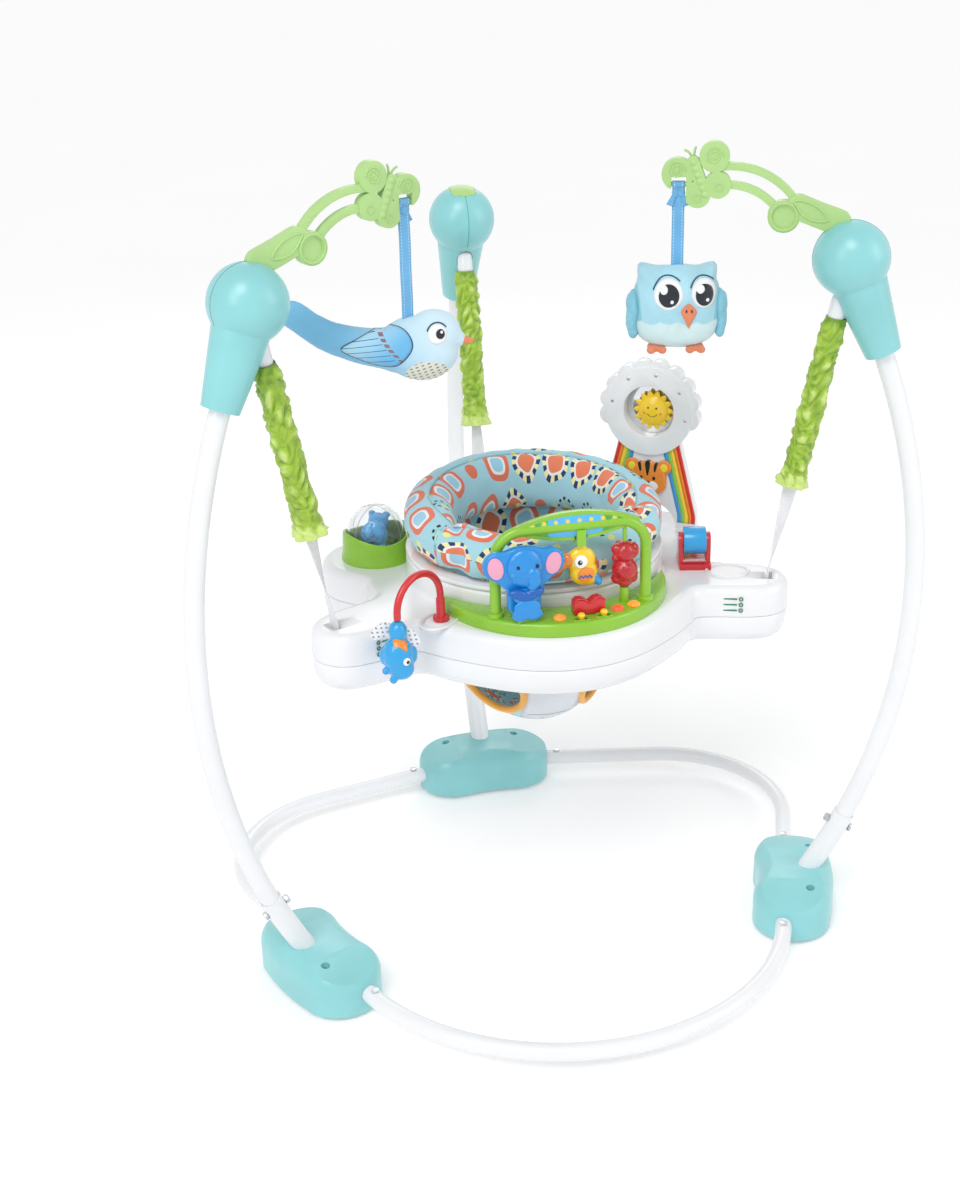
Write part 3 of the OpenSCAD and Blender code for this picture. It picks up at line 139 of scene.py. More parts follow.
class Mat:
    """A Principled material with helpers for patterns. Object space is the part's frame, in metres."""

    def __init__(self, name, rough=0.4, spec=0.5, **sockets):
        self.m = bpy.data.materials.new(name)
        self.m.use_nodes = True
        self.t = self.m.node_tree
        self.b = self.t.nodes["Principled BSDF"]
        self.b.inputs["Roughness"].default_value = rough
        self.b.inputs["Specular IOR Level"].default_value = spec
        for k, v in sockets.items():
            self.b.inputs[k.replace("_", " ")].default_value = v
        self.coords = self.t.nodes.new("ShaderNodeTexCoord")

    def put(self, socket, value):
        self.t.links.new(value.socket if isinstance(value, Val) else value, self.b.inputs[socket])
        return self

    def xyz(self, kind="Object", place=WORLD):
        """The coordinates as three values, in the local millimetres of place."""
        n = self.t.nodes.new("ShaderNodeMapping")
        n.vector_type = "TEXTURE"
        where, turn, size = place.decompose()
        n.inputs["Location"].default_value = where
        n.inputs["Rotation"].default_value = turn.to_euler()
        n.inputs["Scale"].default_value = size
        self.t.links.new(self.coords.outputs[kind], n.inputs["Vector"])
        parts = self.t.nodes.new("ShaderNodeSeparateXYZ")
        self.t.links.new(n.outputs["Vector"], parts.inputs[0])
        return [Val(self.t, o) for o in parts.outputs]

    def noise(self, scale, detail=2.0):
        n = self.t.nodes.new("ShaderNodeTexNoise")
        n.inputs["Scale"].default_value = scale
        n.inputs["Detail"].default_value = detail
        self.t.links.new(self.coords.outputs["Object"], n.inputs["Vector"])
        return Val(self.t, n.outputs["Fac"])

    def dice(self, a, b):
        """A value from 0 to 1 that is fixed for each pair of whole numbers."""
        c = self.t.nodes.new("ShaderNodeCombineXYZ")
        self.t.links.new(a.socket, c.inputs[0])
        self.t.links.new(b.socket, c.inputs[1])
        n = self.t.nodes.new("ShaderNodeTexWhiteNoise")
        n.noise_dimensions = "2D"
        self.t.links.new(c.outputs[0], n.inputs["Vector"])
        return Val(self.t, n.outputs["Value"])

    def mix(self, fac, a, b):
        n = self.t.nodes.new("ShaderNodeMix")
        n.data_type = "RGBA"
        self.t.links.new(fac.socket, n.inputs["Factor"])
        for socket, c in ((n.inputs[6], a), (n.inputs[7], b)):
            if isinstance(c, (tuple, list)):
                socket.default_value = (*c, 1.0)
            else:
                self.t.links.new(c, socket)
        return n.outputs[2]

    def tone(self, colour, spread=0.05, scale=14.0):
        """The colour with slow, slight changes of depth, as moulded or dyed material has."""
        dark = tuple(c * (1 - spread) for c in colour)
        light = tuple(min(1.0, c * (1 + 0.6 * spread)) for c in colour)
        return self.mix(self.noise(scale, 3.0).ramp(0.25, 0.75), dark, light)

    def bump(self, height, strength=0.2, distance=0.0004):
        n = self.t.nodes.new("ShaderNodeBump")
        n.inputs["Strength"].default_value = strength
        n.inputs["Distance"].default_value = distance
        self.t.links.new(height.socket, n.inputs["Height"])
        self.t.links.new(n.outputs["Normal"], self.b.inputs["Normal"])
        return self

    def weave(self, pitch, strength=0.35):
        """A plain weave, pitch in mm: threads that go over and under each other."""
        x, y, z = self.xyz()
        k = TURN / pitch
        over = ((x + y * 0.3) * k).sin() * ((z + y * 0.3) * k).sin()
        return self.bump(over * 0.5 + self.noise(900) * 0.5 + self.noise(70, 3.0) * 0.7, strength, 0.0007)


def plastic(name, colour, rough=0.3, spread=0.05, grain=0.06, **sockets):
    p = Mat(name, rough, **sockets)
    p.put("Base Color", p.tone(colour, spread))
    p.put("Roughness", p.noise(60, 3.0) * 0.14 + (rough - 0.07))
    return p.bump(p.noise(420) + p.noise(30) * 0.6, grain, 0.0006)


def fabric(name, colour, pitch=1.6, rough=0.85, spread=0.08, strength=0.35):
    p = Mat(name, rough, 0.25, Sheen_Weight=0.35, Sheen_Roughness=0.5)
    p.put("Base Color", p.tone(colour, spread, 22.0))
    return p.weave(pitch, strength)


PALE = (0.88, 0.90, 0.90)
CORAL = (0.80, 0.19, 0.11)
NAVY = (0.02, 0.05, 0.17)
BLACK = (0.012, 0.013, 0.016)
YELLOW = (0.93, 0.62, 0.02)
RIBBON = (0.16, 0.47, 0.80)
RAINBOW = {"red": (0.75, 0.03, 0.02), "orange": (0.90, 0.25, 0.02), "yellow": (0.93, 0.70, 0.05),
           "green": (0.22, 0.60, 0.12), "blue": (0.05, 0.33, 0.78)}

M = {
    "teal": plastic("teal_plastic", (0.26, 0.63, 0.65), 0.33, 0.06, Coat_Weight=0.25, Coat_Roughness=0.25),
    "white": plastic("white_plastic", (0.84, 0.85, 0.87), 0.24, 0.02, Coat_Weight=0.2, Coat_Roughness=0.15),
    "leaf": plastic("leaf_plastic", (0.43, 0.66, 0.25), 0.42, 0.06),
    "lime": plastic("lime_plastic", (0.26, 0.55, 0.03), 0.26, 0.07, Coat_Weight=0.2),
    "blue": plastic("blue_plastic", (0.01, 0.27, 0.72), 0.24, 0.08, Coat_Weight=0.3),
    "sky": plastic("sky_plastic", (0.02, 0.36, 0.75), 0.25, 0.07, Coat_Weight=0.3),
    "red": plastic("red_plastic", (0.66, 0.02, 0.03), 0.24, 0.08, Coat_Weight=0.3),
    "yellow": plastic("yellow_plastic", YELLOW, 0.26, 0.06, Coat_Weight=0.3),
    "orange": plastic("orange_plastic", (0.87, 0.27, 0.03), 0.28, 0.07, Coat_Weight=0.2),
    "pink": plastic("pink_plastic", (0.85, 0.38, 0.53), 0.3, 0.06),
    "black": plastic("black_plastic", BLACK, 0.2, 0.2),
    "deep": plastic("deep_blue_plastic", (0.01, 0.12, 0.46), 0.3, 0.1),
    "print_white": plastic("white_print", (0.90, 0.90, 0.89), 0.4, 0.02),
    "print_green": plastic("green_print", (0.015, 0.20, 0.09), 0.45, 0.1),
    "grey": plastic("grey_plastic", (0.45, 0.47, 0.50), 0.3, 0.08),
    "pad": plastic("pad_rubber", (0.78, 0.79, 0.80), 0.6, 0.05, 0.2),
    "board": plastic("circuit_board", (0.02, 0.12, 0.05), 0.5, 0.2, 0.2),
    "teal_seam": plastic("teal_shadow_line", (0.10, 0.36, 0.38), 0.5, 0.08),
    "felt": fabric("salmon_felt", (0.86, 0.27, 0.13), 0.9, 0.9, 0.1, 0.5),
    "binding": fabric("orange_binding", (0.93, 0.45, 0.08), 1.2, 0.7, 0.1, 0.4),
    "wing_plush": fabric("wing_plush", (0.24, 0.58, 0.72), 1.1, 0.9, 0.12, 0.45),
    "lining": fabric("grey_lining", (0.70, 0.73, 0.78), 1.6, 0.8, 0.05, 0.35),
    "thread": fabric("thread", (0.03, 0.06, 0.12), 0.6, 0.9, 0.1, 0.3),
    "knot": fabric("ribbon_knot", RIBBON, 1.2, 0.6, 0.1, 0.6),
    "eye_cloth": fabric("white_eye_cloth", (0.90, 0.91, 0.92), 0.9, 0.8, 0.03, 0.3),
    "pupil_cloth": fabric("dark_eye_cloth", (0.02, 0.027, 0.035), 0.9, 0.7, 0.15, 0.3),
}
for stripe, tint in RAINBOW.items():
    M["stripe_" + stripe] = plastic(stripe + "_stripe", tint, 0.3, 0.05)


def polished(name, rough, tone, wear, grain, **sockets):
    """A hard, smooth material: its tone, the wear of its polish as (noise, depth, least) and its grain."""
    p = Mat(name, rough, **sockets)
    p.put("Base Color", p.tone(*tone))
    if wear:
        spots, depth, least = wear
        p.put("Roughness", p.noise(*spots) * depth + least)
    spots, strength, distance = grain
    return p.bump(p.noise(*spots), strength, distance)


M["tube"] = polished("white_painted_tube", 0.22, ((0.85, 0.86, 0.88), 0.025, 9.0), ((35, 3.0), 0.12, 0.17),
                     ((140, 4.0), 0.05, 0.0008), Coat_Weight=0.3, Coat_Roughness=0.1)
M["steel"] = polished("plated_steel", 0.3, ((0.62, 0.63, 0.65), 0.18, 60.0), ((300, 4.0), 0.25, 0.2),
                      ((800,), 0.15, 0.0002), Metallic=1.0)
M["mirror"] = polished("mirror_foil", 0.06, ((0.78, 0.80, 0.83), 0.05, 30.0), ((50, 3.0), 0.1, 0.03),
                       ((60,), 0.25, 0.0006), Metallic=1.0)
M["clear"] = polished("clear_moulding", 0.04, ((0.96, 0.98, 0.99), 0.02, 20.0), None,
                      ((90,), 0.04, 0.0004), Transmission_Weight=0.96, IOR=1.3)
M["ruby"] = polished("clear_red", 0.16, ((0.72, 0.02, 0.035), 0.14, 70.0), None,
                     ((160,), 0.2, 0.0006), Transmission_Weight=0.35, IOR=1.42, Coat_Weight=0.4)

lens_glow = Mat("lens_glow", 0.16, Coat_Weight=0.5, Emission_Color=(0.9, 0.16, 0.02, 1.0),
                Emission_Strength=0.6)
lx, ly, _ = lens_glow.xyz()
facets = lens_glow.tone((0.95, 0.36, 0.03), 0.3, 160.0)
lens_glow.put("Base Color", lens_glow.mix(lx.between(36.0, 57.0), facets, (0.80, 0.02, 0.02)))
M["lens"] = lens_glow.bump((lx * 2.4).sin() * (ly * 2.4).sin(), 0.4, 0.0006)

satin = Mat("gathered_satin", 0.3, 0.5, Sheen_Weight=0.25, Sheen_Roughness=0.4)
_, fold_height, _ = satin.xyz("UV")
dyed = satin.tone((0.33, 0.52, 0.035), 0.18, 60.0)
# Painted shade and painted highlight: the fold height in the UV darkens the satin in the valleys between
# folds and lightens it on the crests.
painted_valley_shade = satin.mix(fold_height.ramp(10.6, 13.6), (0.16, 0.32, 0.012), dyed)
satin.put("Base Color", satin.mix(fold_height.ramp(13.6, 16.2), painted_valley_shade, (0.58, 0.74, 0.20)))
satin.put("Roughness", satin.noise(160, 3.0) * 0.2 + 0.2)
M["satin"] = satin.bump(satin.noise(240, 4.0) + satin.noise(1200) * 0.2, 0.45, 0.0014)

webbing = Mat("white_webbing", 0.7, 0.3, Sheen_Weight=0.3)
webbing.put("Base Color", webbing.tone((0.82, 0.83, 0.86), 0.06, 60.0))
across, along, _ = webbing.xyz("UV")
ribs = (across * (TURN / 2.2)).sin() * 0.4 + (along * (TURN / 2.6)).sin()
M["webbing"] = webbing.bump(ribs * 0.5 + webbing.noise(700) * 0.3, 0.5, 0.0005)

stitched = Mat("stitched_ribbon", 0.6, 0.3, Sheen_Weight=0.35)
across, along, _ = stitched.xyz("UV")
dashes = (abs(abs(across) - 4.4) < 0.45) * ((along / 3.2).fract() < 0.6)
stitched.put("Base Color", stitched.mix(dashes, stitched.tone(RIBBON, 0.1, 40.0), (0.50, 0.72, 0.90)))
M["ribbon"] = stitched.weave(1.2, 0.5)


def seat_print():
    """Rounded rings, dots and dashed squares, each in its own cell and tilted its own way."""
    p = Mat("seat_print", 0.82, 0.25, Sheen_Weight=0.3, Sheen_Roughness=0.5)
    u, v, _ = p.xyz("UV")
    cell = 42.0
    row = (v / cell).floor()
    col = u / cell + row * 0.5
    x = col.fract() - 0.5
    y = (v / cell).fract() - 0.5
    pick = p.dice(col.floor(), row)
    tilt = (p.dice(col.floor() + 17.0, row + 5.0) - 0.5) * 1.1
    xr = x * tilt.cos() - y * tilt.sin()
    yr = x * tilt.sin() + y * tilt.cos()
    box = (abs(xr) ** 3.2 + abs(yr) ** 3.2) ** (1 / 3.2)
    disc = (x * x + y * y) ** 0.5
    dash = (yr.op("ARCTAN2", xr) * 9.0).sin() > 0.0
    rings = pick < 0.36
    squares = pick.between(0.56, 0.82)
    edge = squares * box.between(0.31, 0.43)
    small = pick > 0.82
    xo = (u / 57.0 + 0.31).fract() - 0.5
    yo = (v / 61.0 + 0.77).fract() - 0.5
    layers = [
        (rings * (box < 0.40), CORAL), (rings * (box < 0.27), PALE),
        (rings * (box < 0.20), (0.36, 0.66, 0.84)),
        (pick.between(0.36, 0.56) * (disc < 0.21), CORAL),
        (edge, (0.92, 0.85, 0.42)), (edge * dash, NAVY),
        (squares * (box < 0.31), PALE), (squares * (box < 0.25), (0.84, 0.23, 0.12)),
        (small * disc.between(0.26, 0.34) * dash, BLACK), (small * (disc < 0.26), (0.30, 0.64, 0.68)),
        (small * (disc < 0.12), (0.92, 0.80, 0.22)),
        ((xo * xo + yo * yo) < 0.0042, (0.88, 0.83, 0.28)),
    ]
    colour = p.tone((0.40, 0.69, 0.79), 0.05, 16.0)
    for mask, tint in layers:
        colour = p.mix(mask, colour, tint)
    p.put("Base Color", colour)
    return p.weave(1.6, 0.35)


M["seat"] = seat_print()

# Meshes. Makers take millimetres in the frame that place gives.

riders = []


def new_piece(name, me, mat, body, slot):
    """An object for a mesh. It is put on its body at the end, once it has its final shape."""
    o = bpy.data.objects.new(name, me)
    scene.collection.objects.link(o)
    me.materials.append(M[mat].m)
    me.shade_smooth()
    if body:
        riders.append((o, body))
    return o


def from_bmesh(name, bm, mat, body, slot, place=WORLD, tidy=True):
    if tidy:
        bmesh.ops.remove_doubles(bm, verts=bm.verts, dist=1e-4 * MM / place.median_scale)
        bmesh.ops.recalc_face_normals(bm, faces=bm.faces)
    me = bpy.data.meshes.new(name)
    bm.to_mesh(me)
    bm.free()
    me.transform(place)
    return new_piece(name, me, mat, body, slot)


def grid(name, points, mat, body, slot, place=WORLD, wrap_u=False, wrap_v=False, caps=(False, False),
         uv=None):
    """A surface through points[i][j]. uv(i, j) gives the print's place in mm, at wrapped corners too."""
    P = np.asarray(points, float)
    m, n = P.shape[:2]
    bm = bmesh.new()
    verts = [bm.verts.new(p) for p in P.reshape(-1, 3)]
    layer = bm.loops.layers.uv.new("UVMap") if uv else None
    for i in range(m if wrap_u else m - 1):
        for j in range(n if wrap_v else n - 1):
            corners = [(i, j), (i + 1, j), (i + 1, j + 1), (i, j + 1)]
            f = bm.faces.new([verts[(a % m) * n + b % n] for a, b in corners])
            if uv:
                for loop, (a, b) in zip(f.loops, corners):
                    loop[layer].uv = [c * MM for c in uv(a, b)]
    for wanted, ring in zip(caps, (verts[:n], verts[-n:])):
        if wanted:
            bm.faces.new(ring)
    return from_bmesh(name, bm, mat, body, slot, place)


def modifier(o, kind, **settings):
    m = o.modifiers.new(kind.lower(), kind)
    for k, v in settings.items():
        setattr(m, k, v)
    return m


def bake(o):
    """Applies the modifiers to the mesh."""
    dg = bpy.context.evaluated_depsgraph_get()
    me = bpy.data.meshes.new_from_object(o.evaluated_get(dg))
    o.modifiers.clear()
    old, o.data = o.data, me
    if not me.materials:
        me.materials.append(old.materials[0])
    bpy.data.meshes.remove(old)
    me.shade_smooth()
    return o


def thicken(o, thickness, offset=0.0):
    """Gives a surface a thickness, in mm. At offset -1 it goes inwards, at 0 to both sides."""
    modifier(o, "SOLIDIFY", thickness=thickness * MM, offset=offset)
    return bake(o)


def vertices(o, what="co"):
    a = np.zeros(len(o.data.vertices) * 3)
    o.data.vertices.foreach_get(what, a)
    return a.reshape(-1, 3)


def move_vertices(o, a):
    o.data.vertices.foreach_set("co", np.asarray(a, float).ravel())
    o.data.update()
    return o


def ease(o, iterations=6, factor=0.5):
    modifier(o, "SMOOTH", factor=factor, iterations=iterations)
    return bake(o)


def crease(o, scale, depth):
    """Soft dents and puckers that do not repeat, depth in mm."""
    co, way = vertices(o), vertices(o, "normal")
    dent = [noise.noise(Vector(p) * scale) + noise.noise(Vector(p) * scale * 2.7) * 0.35 for p in co]
    return move_vertices(o, co + way * (np.array(dent) * depth * MM)[:, None])


def blob(name, balls, mat, body, slot, place=WORLD, voxel=1.2, soften=4):
    """One moulded form: ellipsoids (centre, radii, tilt about Y) run together, remeshed and eased."""
    bm = bmesh.new()
    for centre, radii, *tilt in balls:
        turn = Matrix.Rotation(rad(tilt[0]), 4, "Y") if tilt else Matrix()
        bmesh.ops.create_uvsphere(bm, u_segments=28, v_segments=16, radius=1.0,
                                  matrix=Matrix.Translation(centre) @ turn @ Matrix.Diagonal((*radii, 1)))
    o = from_bmesh(name, bm, mat, body, slot, place, tidy=False)
    modifier(o, "REMESH", mode="VOXEL", voxel_size=voxel * MM)
    modifier(o, "SMOOTH", factor=0.5, iterations=soften)
    return bake(o)


ROUND_END = (1.45, 1.05, 0.52)


def tube(name, points, radius, mat, body, slot, place=WORLD, sides=12, closed=False):
    """A round bar along points, with round ends unless it is closed."""
    pts = np.asarray(points, float)
    tang = np.roll(pts, -1, 0) - np.roll(pts, 1, 0) if closed else np.gradient(pts, axis=0)
    tang /= np.linalg.norm(tang, axis=1)[:, None]
    side = np.cross(tang[0], [0, 0, 1.0] if abs(tang[0][2]) < 0.9 else [1.0, 0, 0])
    rings = []
    for p, t in zip(pts, tang):
        side = side - t * side.dot(t)
        side /= np.linalg.norm(side)
        turns = circle(sides)[:, None]
        rings.append(p + radius * (np.cos(turns) * side + np.sin(turns) * np.cross(t, side)))
    if not closed:
        def end(ring, middle, way):
            return [middle + (ring - middle) * math.cos(q) + way * radius * math.sin(q) for q in ROUND_END]
        last = end(rings[-1], pts[-1], tang[-1])
        rings = end(rings[0], pts[0], -tang[0]) + rings + last[::-1]
    caps = (not closed, not closed)
    return grid(name, rings, mat, body, slot, place, wrap_u=closed, wrap_v=True, caps=caps)


def hoop(name, centre, rx, rz, radius, mat, body, slot, place=WORLD, y=0.0):
    """A round bar bent to an upright oval."""
    loop = [(x, y, z) for x, z in arc(*centre, rx, rz, circle(40))]
    return tube(name, loop, radius, mat, body, slot, place, sides=8, closed=True)


def lathe(name, profile, mat, body, slot, place=WORLD, steps=48):
    """A turned form about local Z, from (r, z) pairs."""
    rings = [[(x, y, z) for x, y in arc(0, 0, r, r, circle(steps))] for r, z in profile]
    return grid(name, rings, mat, body, slot, place, wrap_v=True)


def oval(cx, cz, rx, rz, n=40, tilt=0.0):
    c, s = math.cos(rad(tilt)), math.sin(rad(tilt))
    return [(cx + c * x - s * z, cz + s * x + c * z) for x, z in arc(0, 0, rx, rz, circle(n))]


def spline(points, n, closed=True):
    """A smooth line through points, n to each span."""
    pts = [np.asarray(p, float) for p in points]
    last = len(pts) - 1
    out = []
    for i in range(len(pts) if closed else last):
        picks = [(i + k) % len(pts) if closed else min(max(i + k, 0), last) for k in (-1, 0, 1, 2)]
        a, b, c, d = (pts[k] for k in picks)
        square, cube = 2 * a - 5 * b + 4 * c - d, 3 * b - a - 3 * c + d
        for t in np.linspace(0, 1, n, endpoint=False):
            out.append(0.5 * (2 * b + (c - a) * t + square * t * t + cube * t ** 3))
    if not closed:
        out.append(pts[-1])
    return np.array(out)


def mirrored(half):
    """A closed outline from its right half, listed from bottom to top."""
    return list(half) + [(-x, z) for x, z in reversed(half) if x > 0]


def inset(loop, g):
    """A closed outline moved inwards by g along its normals."""
    P = np.asarray(loop, float)
    t = np.roll(P, -1, 0) - np.roll(P, 1, 0)
    t /= np.maximum(np.linalg.norm(t, axis=1), 1e-9)[:, None]
    area = np.sum(P[:, 0] * np.roll(P[:, 1], -1) - np.roll(P[:, 0], -1) * P[:, 1])
    return P + g * np.sign(area) * np.stack([-t[:, 1], t[:, 0]], 1)


def plate(name, outline, front, rear, edge, mat, body, slot, place=WORLD):
    """A flat moulding in the XZ plane from y = front to y = rear, with rounded edges."""
    rounding = [(edge * (1 - math.sin(q)), edge * (1 - math.cos(q))) for q in np.linspace(0, math.pi / 2, 4)]
    rings = [(g, front + h) for g, h in rounding] + [(g, rear - h) for g, h in reversed(rounding)]
    points = [[(x, y, z) for x, z in inset(outline, g)] for g, y in rings]
    return grid(name, points, mat, body, slot, place, wrap_v=True, caps=(True, True))


def surface_of(base, place):
    """A function that finds base's front, along local +Y, at an XZ point: (place, normal), in metres."""
    me = base.data
    tree = BVHTree.FromPolygons([v.co for v in me.vertices], [p.vertices for p in me.polygons])
    way = (place.to_3x3() @ Vector((0, 1, 0))).normalized()

    def front(x, z):
        hit, normal, _, _ = tree.ray_cast(place @ Vector((x, -200, z)), way)
        if hit is None:
            hit, normal, _, _ = tree.find_nearest(place @ Vector((x, 0, z)))
        return hit, normal
    return front


def patch(name, base, outline, mat, body, slot, place, lift=0.5, dome=0.0, rings=7):
    """A piece sewn or printed on the front of base: an XZ outline laid on its surface, its edge let in."""
    front = surface_of(base, place)
    loop = np.asarray(outline, float)
    centre = loop.mean(0)
    points = []
    for k in range(rings + 1):
        f = min((k + 0.1) / (rings - 0.9), 1.0)
        high = lift + dome * (1 - f * f) if k < rings else -0.8
        found = [front(x, z) for x, z in centre + (loop - centre) * f]
        points.append([hit + normal * high * MM for hit, normal in found])
    return grid(name, points, mat, body, slot, Matrix(), wrap_v=True, caps=(True, False))


LINE_LIFT = 0.2


def line_on(name, base, points, radius, mat, body, slot, place):
    """A sewn or printed line on the front of base through XZ points."""
    front = surface_of(base, place)
    found = [front(x, z) for x, z in points]
    raised = [(hit + normal * LINE_LIFT * MM) / MM for hit, normal in found]
    return tube(name, raised, radius, mat, body, slot, sides=8)


def inflate(o, pressure, cap, frames=20):
    """Cloth under pressure, with how far a point may move capped, in mm. The result is the piece's mesh."""
    start = vertices(o)
    cloth = modifier(o, "CLOTH")
    s = cloth.settings
    s.quality = 6
    s.mass = 0.2
    s.tension_stiffness = s.compression_stiffness = 12
    s.shear_stiffness = 6
    s.bending_stiffness = 0.4
    s.use_pressure = True
    s.uniform_pressure_force = pressure
    s.effector_weights.gravity = 0
    cloth.point_cache.frame_start, cloth.point_cache.frame_end = 1, frames
    for f in range(1, frames + 1):
        scene.frame_set(f)
    bake(o)
    scene.frame_set(1)
    move = vertices(o) - start
    far = np.maximum(np.linalg.norm(move, axis=1), 1e-9)
    return move_vertices(o, start + move * np.minimum(1, cap * MM / far)[:, None])


def cut(o, tools):
    """Takes the solids of a bmesh, in mm, out of a piece."""
    me = bpy.data.meshes.new("cutter")
    tools.to_mesh(me)
    tools.free()
    me.transform(WORLD)
    cutter = bpy.data.objects.new("cutter", me)
    scene.collection.objects.link(cutter)
    modifier(o, "BOOLEAN", object=cutter, operation="DIFFERENCE", solver="EXACT")
    bake(o)
    bpy.data.objects.remove(cutter)
    return o


def add_bar(tools, r, length, segments, where):
    """Adds a round bar to the solids that cut will take out."""
    bmesh.ops.create_cone(tools, cap_ends=True, segments=segments, radius1=r, radius2=r, depth=length,
                          matrix=where)


def bump_at(a, centre, width):
    """A bell of height 1 at an angle, in degrees."""
    return math.exp(-(((a - centre + 540) % 360 - 180) / width) ** 2)


def maker(prefix, mat, body, slot, place=WORLD):
    """A function that makes the pieces of one group, which share a body and a frame."""
    def make(kind, name, *shape, mat=mat, place=place, **settings):
        return kind(prefix + name, *shape, mat, body, slot, place, **settings)
    return make


# Camera, floor and light

CAM_AT, CAM_SENSOR, CAM_LENS, CAM_SHIFT = (-0.4816, -1.8556, 1.2247), 36.0, 53.34, (-0.0457, 0.0185)
CAM_RIGHT, CAM_UP = (0.9664, -0.2566, -0.0124), (0.1155, 0.3909, 0.9132)
cam_right = Vector(CAM_RIGHT).normalized()
cam_back = cam_right.cross(Vector(CAM_UP)).normalized()
cam_up = cam_back.cross(cam_right)
cam = bpy.data.objects.new("camera", bpy.data.cameras.new("camera"))
cam_turn = Matrix((cam_right, cam_up, cam_back)).transposed().to_4x4()
cam.matrix_world = Matrix.Translation(CAM_AT) @ cam_turn
cam.data.sensor_width = CAM_SENSOR
cam.data.lens = CAM_LENS
cam.data.shift_x, cam.data.shift_y = CAM_SHIFT
scene.collection.objects.link(cam)
scene.camera = cam
scene.view_settings.view_transform = "Standard"

world = bpy.data.worlds.new("studio")
scene.world = world
world.use_nodes = True
background = world.node_tree.nodes["Background"]
background.inputs["Color"].default_value = (1, 1, 1, 1)
ray = world.node_tree.nodes.new("ShaderNodeLightPath")
seen = Val(world.node_tree, ray.outputs["Is Camera Ray"])
for kind in ("Is Transmission Ray", "Is Glossy Ray"):
    seen = seen.op("MAXIMUM", Val(world.node_tree, ray.outputs[kind]))
world.node_tree.links.new((seen * 0.5 + 0.5).socket, background.inputs["Strength"])


def lamp(name, kind, energy, where, aim, size):
    d = bpy.data.lights.new(name, kind)
    d.energy = energy
    if kind == "SUN":
        d.angle = rad(size)
    else:
        d.shape = "RECTANGLE"
        d.size, d.size_y = size
    o = bpy.data.objects.new(name, d)
    o.location = where
    o.rotation_euler = (Vector(aim) - Vector(where)).to_track_quat("-Z", "Y").to_euler()
    scene.collection.objects.link(o)


lamp("key_sun", "SUN", 1.1, (-1.2, -2.0, 3.4), (0, 0, 0.3), 28)
lamp("fill_sun", "SUN", 0.3, (2.5, -1.5, 1.6), (0, 0, 0.4), 60)
lamp("softbox_left", "AREA", 14, (-1.9, -1.6, 1.9), (0, 0, 0.55), (0.9, 1.5))
lamp("softbox_right", "AREA", 8, (2.1, -1.2, 1.5), (0, 0, 0.55), (0.7, 1.4))
lamp("softbox_back", "AREA", 8, (0.6, 2.2, 1.9), (0, 0, 0.6), (1.4, 0.8))

FLOOR = 40
floor_corners = [(-FLOOR, -FLOOR, 0), (FLOOR, -FLOOR, 0), (FLOOR, FLOOR, 0), (-FLOOR, FLOOR, 0)]
floor_mesh = bpy.data.meshes.new("floor")
floor_mesh.from_pydata(floor_corners, [], [(0, 1, 2, 3)])
floor = bpy.data.objects.new("floor", floor_mesh)
scene.collection.objects.link(floor)
ground = Mat("pale_floor", 0.9, 0.1, Emission_Color=(1, 1, 1, 1), Emission_Strength=0.3)
ground.put("Base Color", ground.tone((0.80, 0.80, 0.805), 0.01, 1.5))
floor_mesh.materials.append(ground.m)

# CAD nodes that stay: their own material, softened edges and clean shading


def smooth_by_angle(angle):
    """A geometry node group that shades smooth over edges up to an angle."""
    g = bpy.data.node_groups.new(f"smooth_{angle}", "GeometryNodeTree")
    g.interface.new_socket("Geometry", in_out="INPUT", socket_type="NodeSocketGeometry")
    g.interface.new_socket("Geometry", in_out="OUTPUT", socket_type="NodeSocketGeometry")
    start, end = g.nodes.new("NodeGroupInput"), g.nodes.new("NodeGroupOutput")
    edge = g.nodes.new("GeometryNodeInputMeshEdgeAngle")
    test = g.nodes.new("FunctionNodeCompare")
    test.data_type, test.operation = "FLOAT", "LESS_THAN"
    test.inputs[1].default_value = rad(angle)
    shade = g.nodes.new("GeometryNodeSetShadeSmooth")
    shade.domain = "EDGE"
    g.links.new(edge.outputs[0], test.inputs[0])
    g.links.new(start.outputs[0], shade.inputs[0])
    g.links.new(test.outputs[0], shade.inputs["Shade Smooth"])
    g.links.new(shade.outputs[0], end.inputs[0])
    return g


SHARP = 32
smooth_group = smooth_by_angle(SHARP)


def finish_node(name, mat, bevel=0.0):
    o = nodes[name]
    o.data.materials.clear()
    o.data.materials.append(M[mat].m)
    if "custom_normal" in o.data.attributes:
        o.data.attributes.remove(o.data.attributes["custom_normal"])
    o.data.shade_smooth()
    modifier(o, "WELD", merge_threshold=2e-6)
    if bevel:
        modifier(o, "DECIMATE", decimate_type="DISSOLVE", angle_limit=rad(0.6))
        modifier(o, "BEVEL", width=bevel * MM, segments=3, limit_method="ANGLE", angle_limit=rad(SHARP))
    modifier(o, "NODES", node_group=smooth_group)


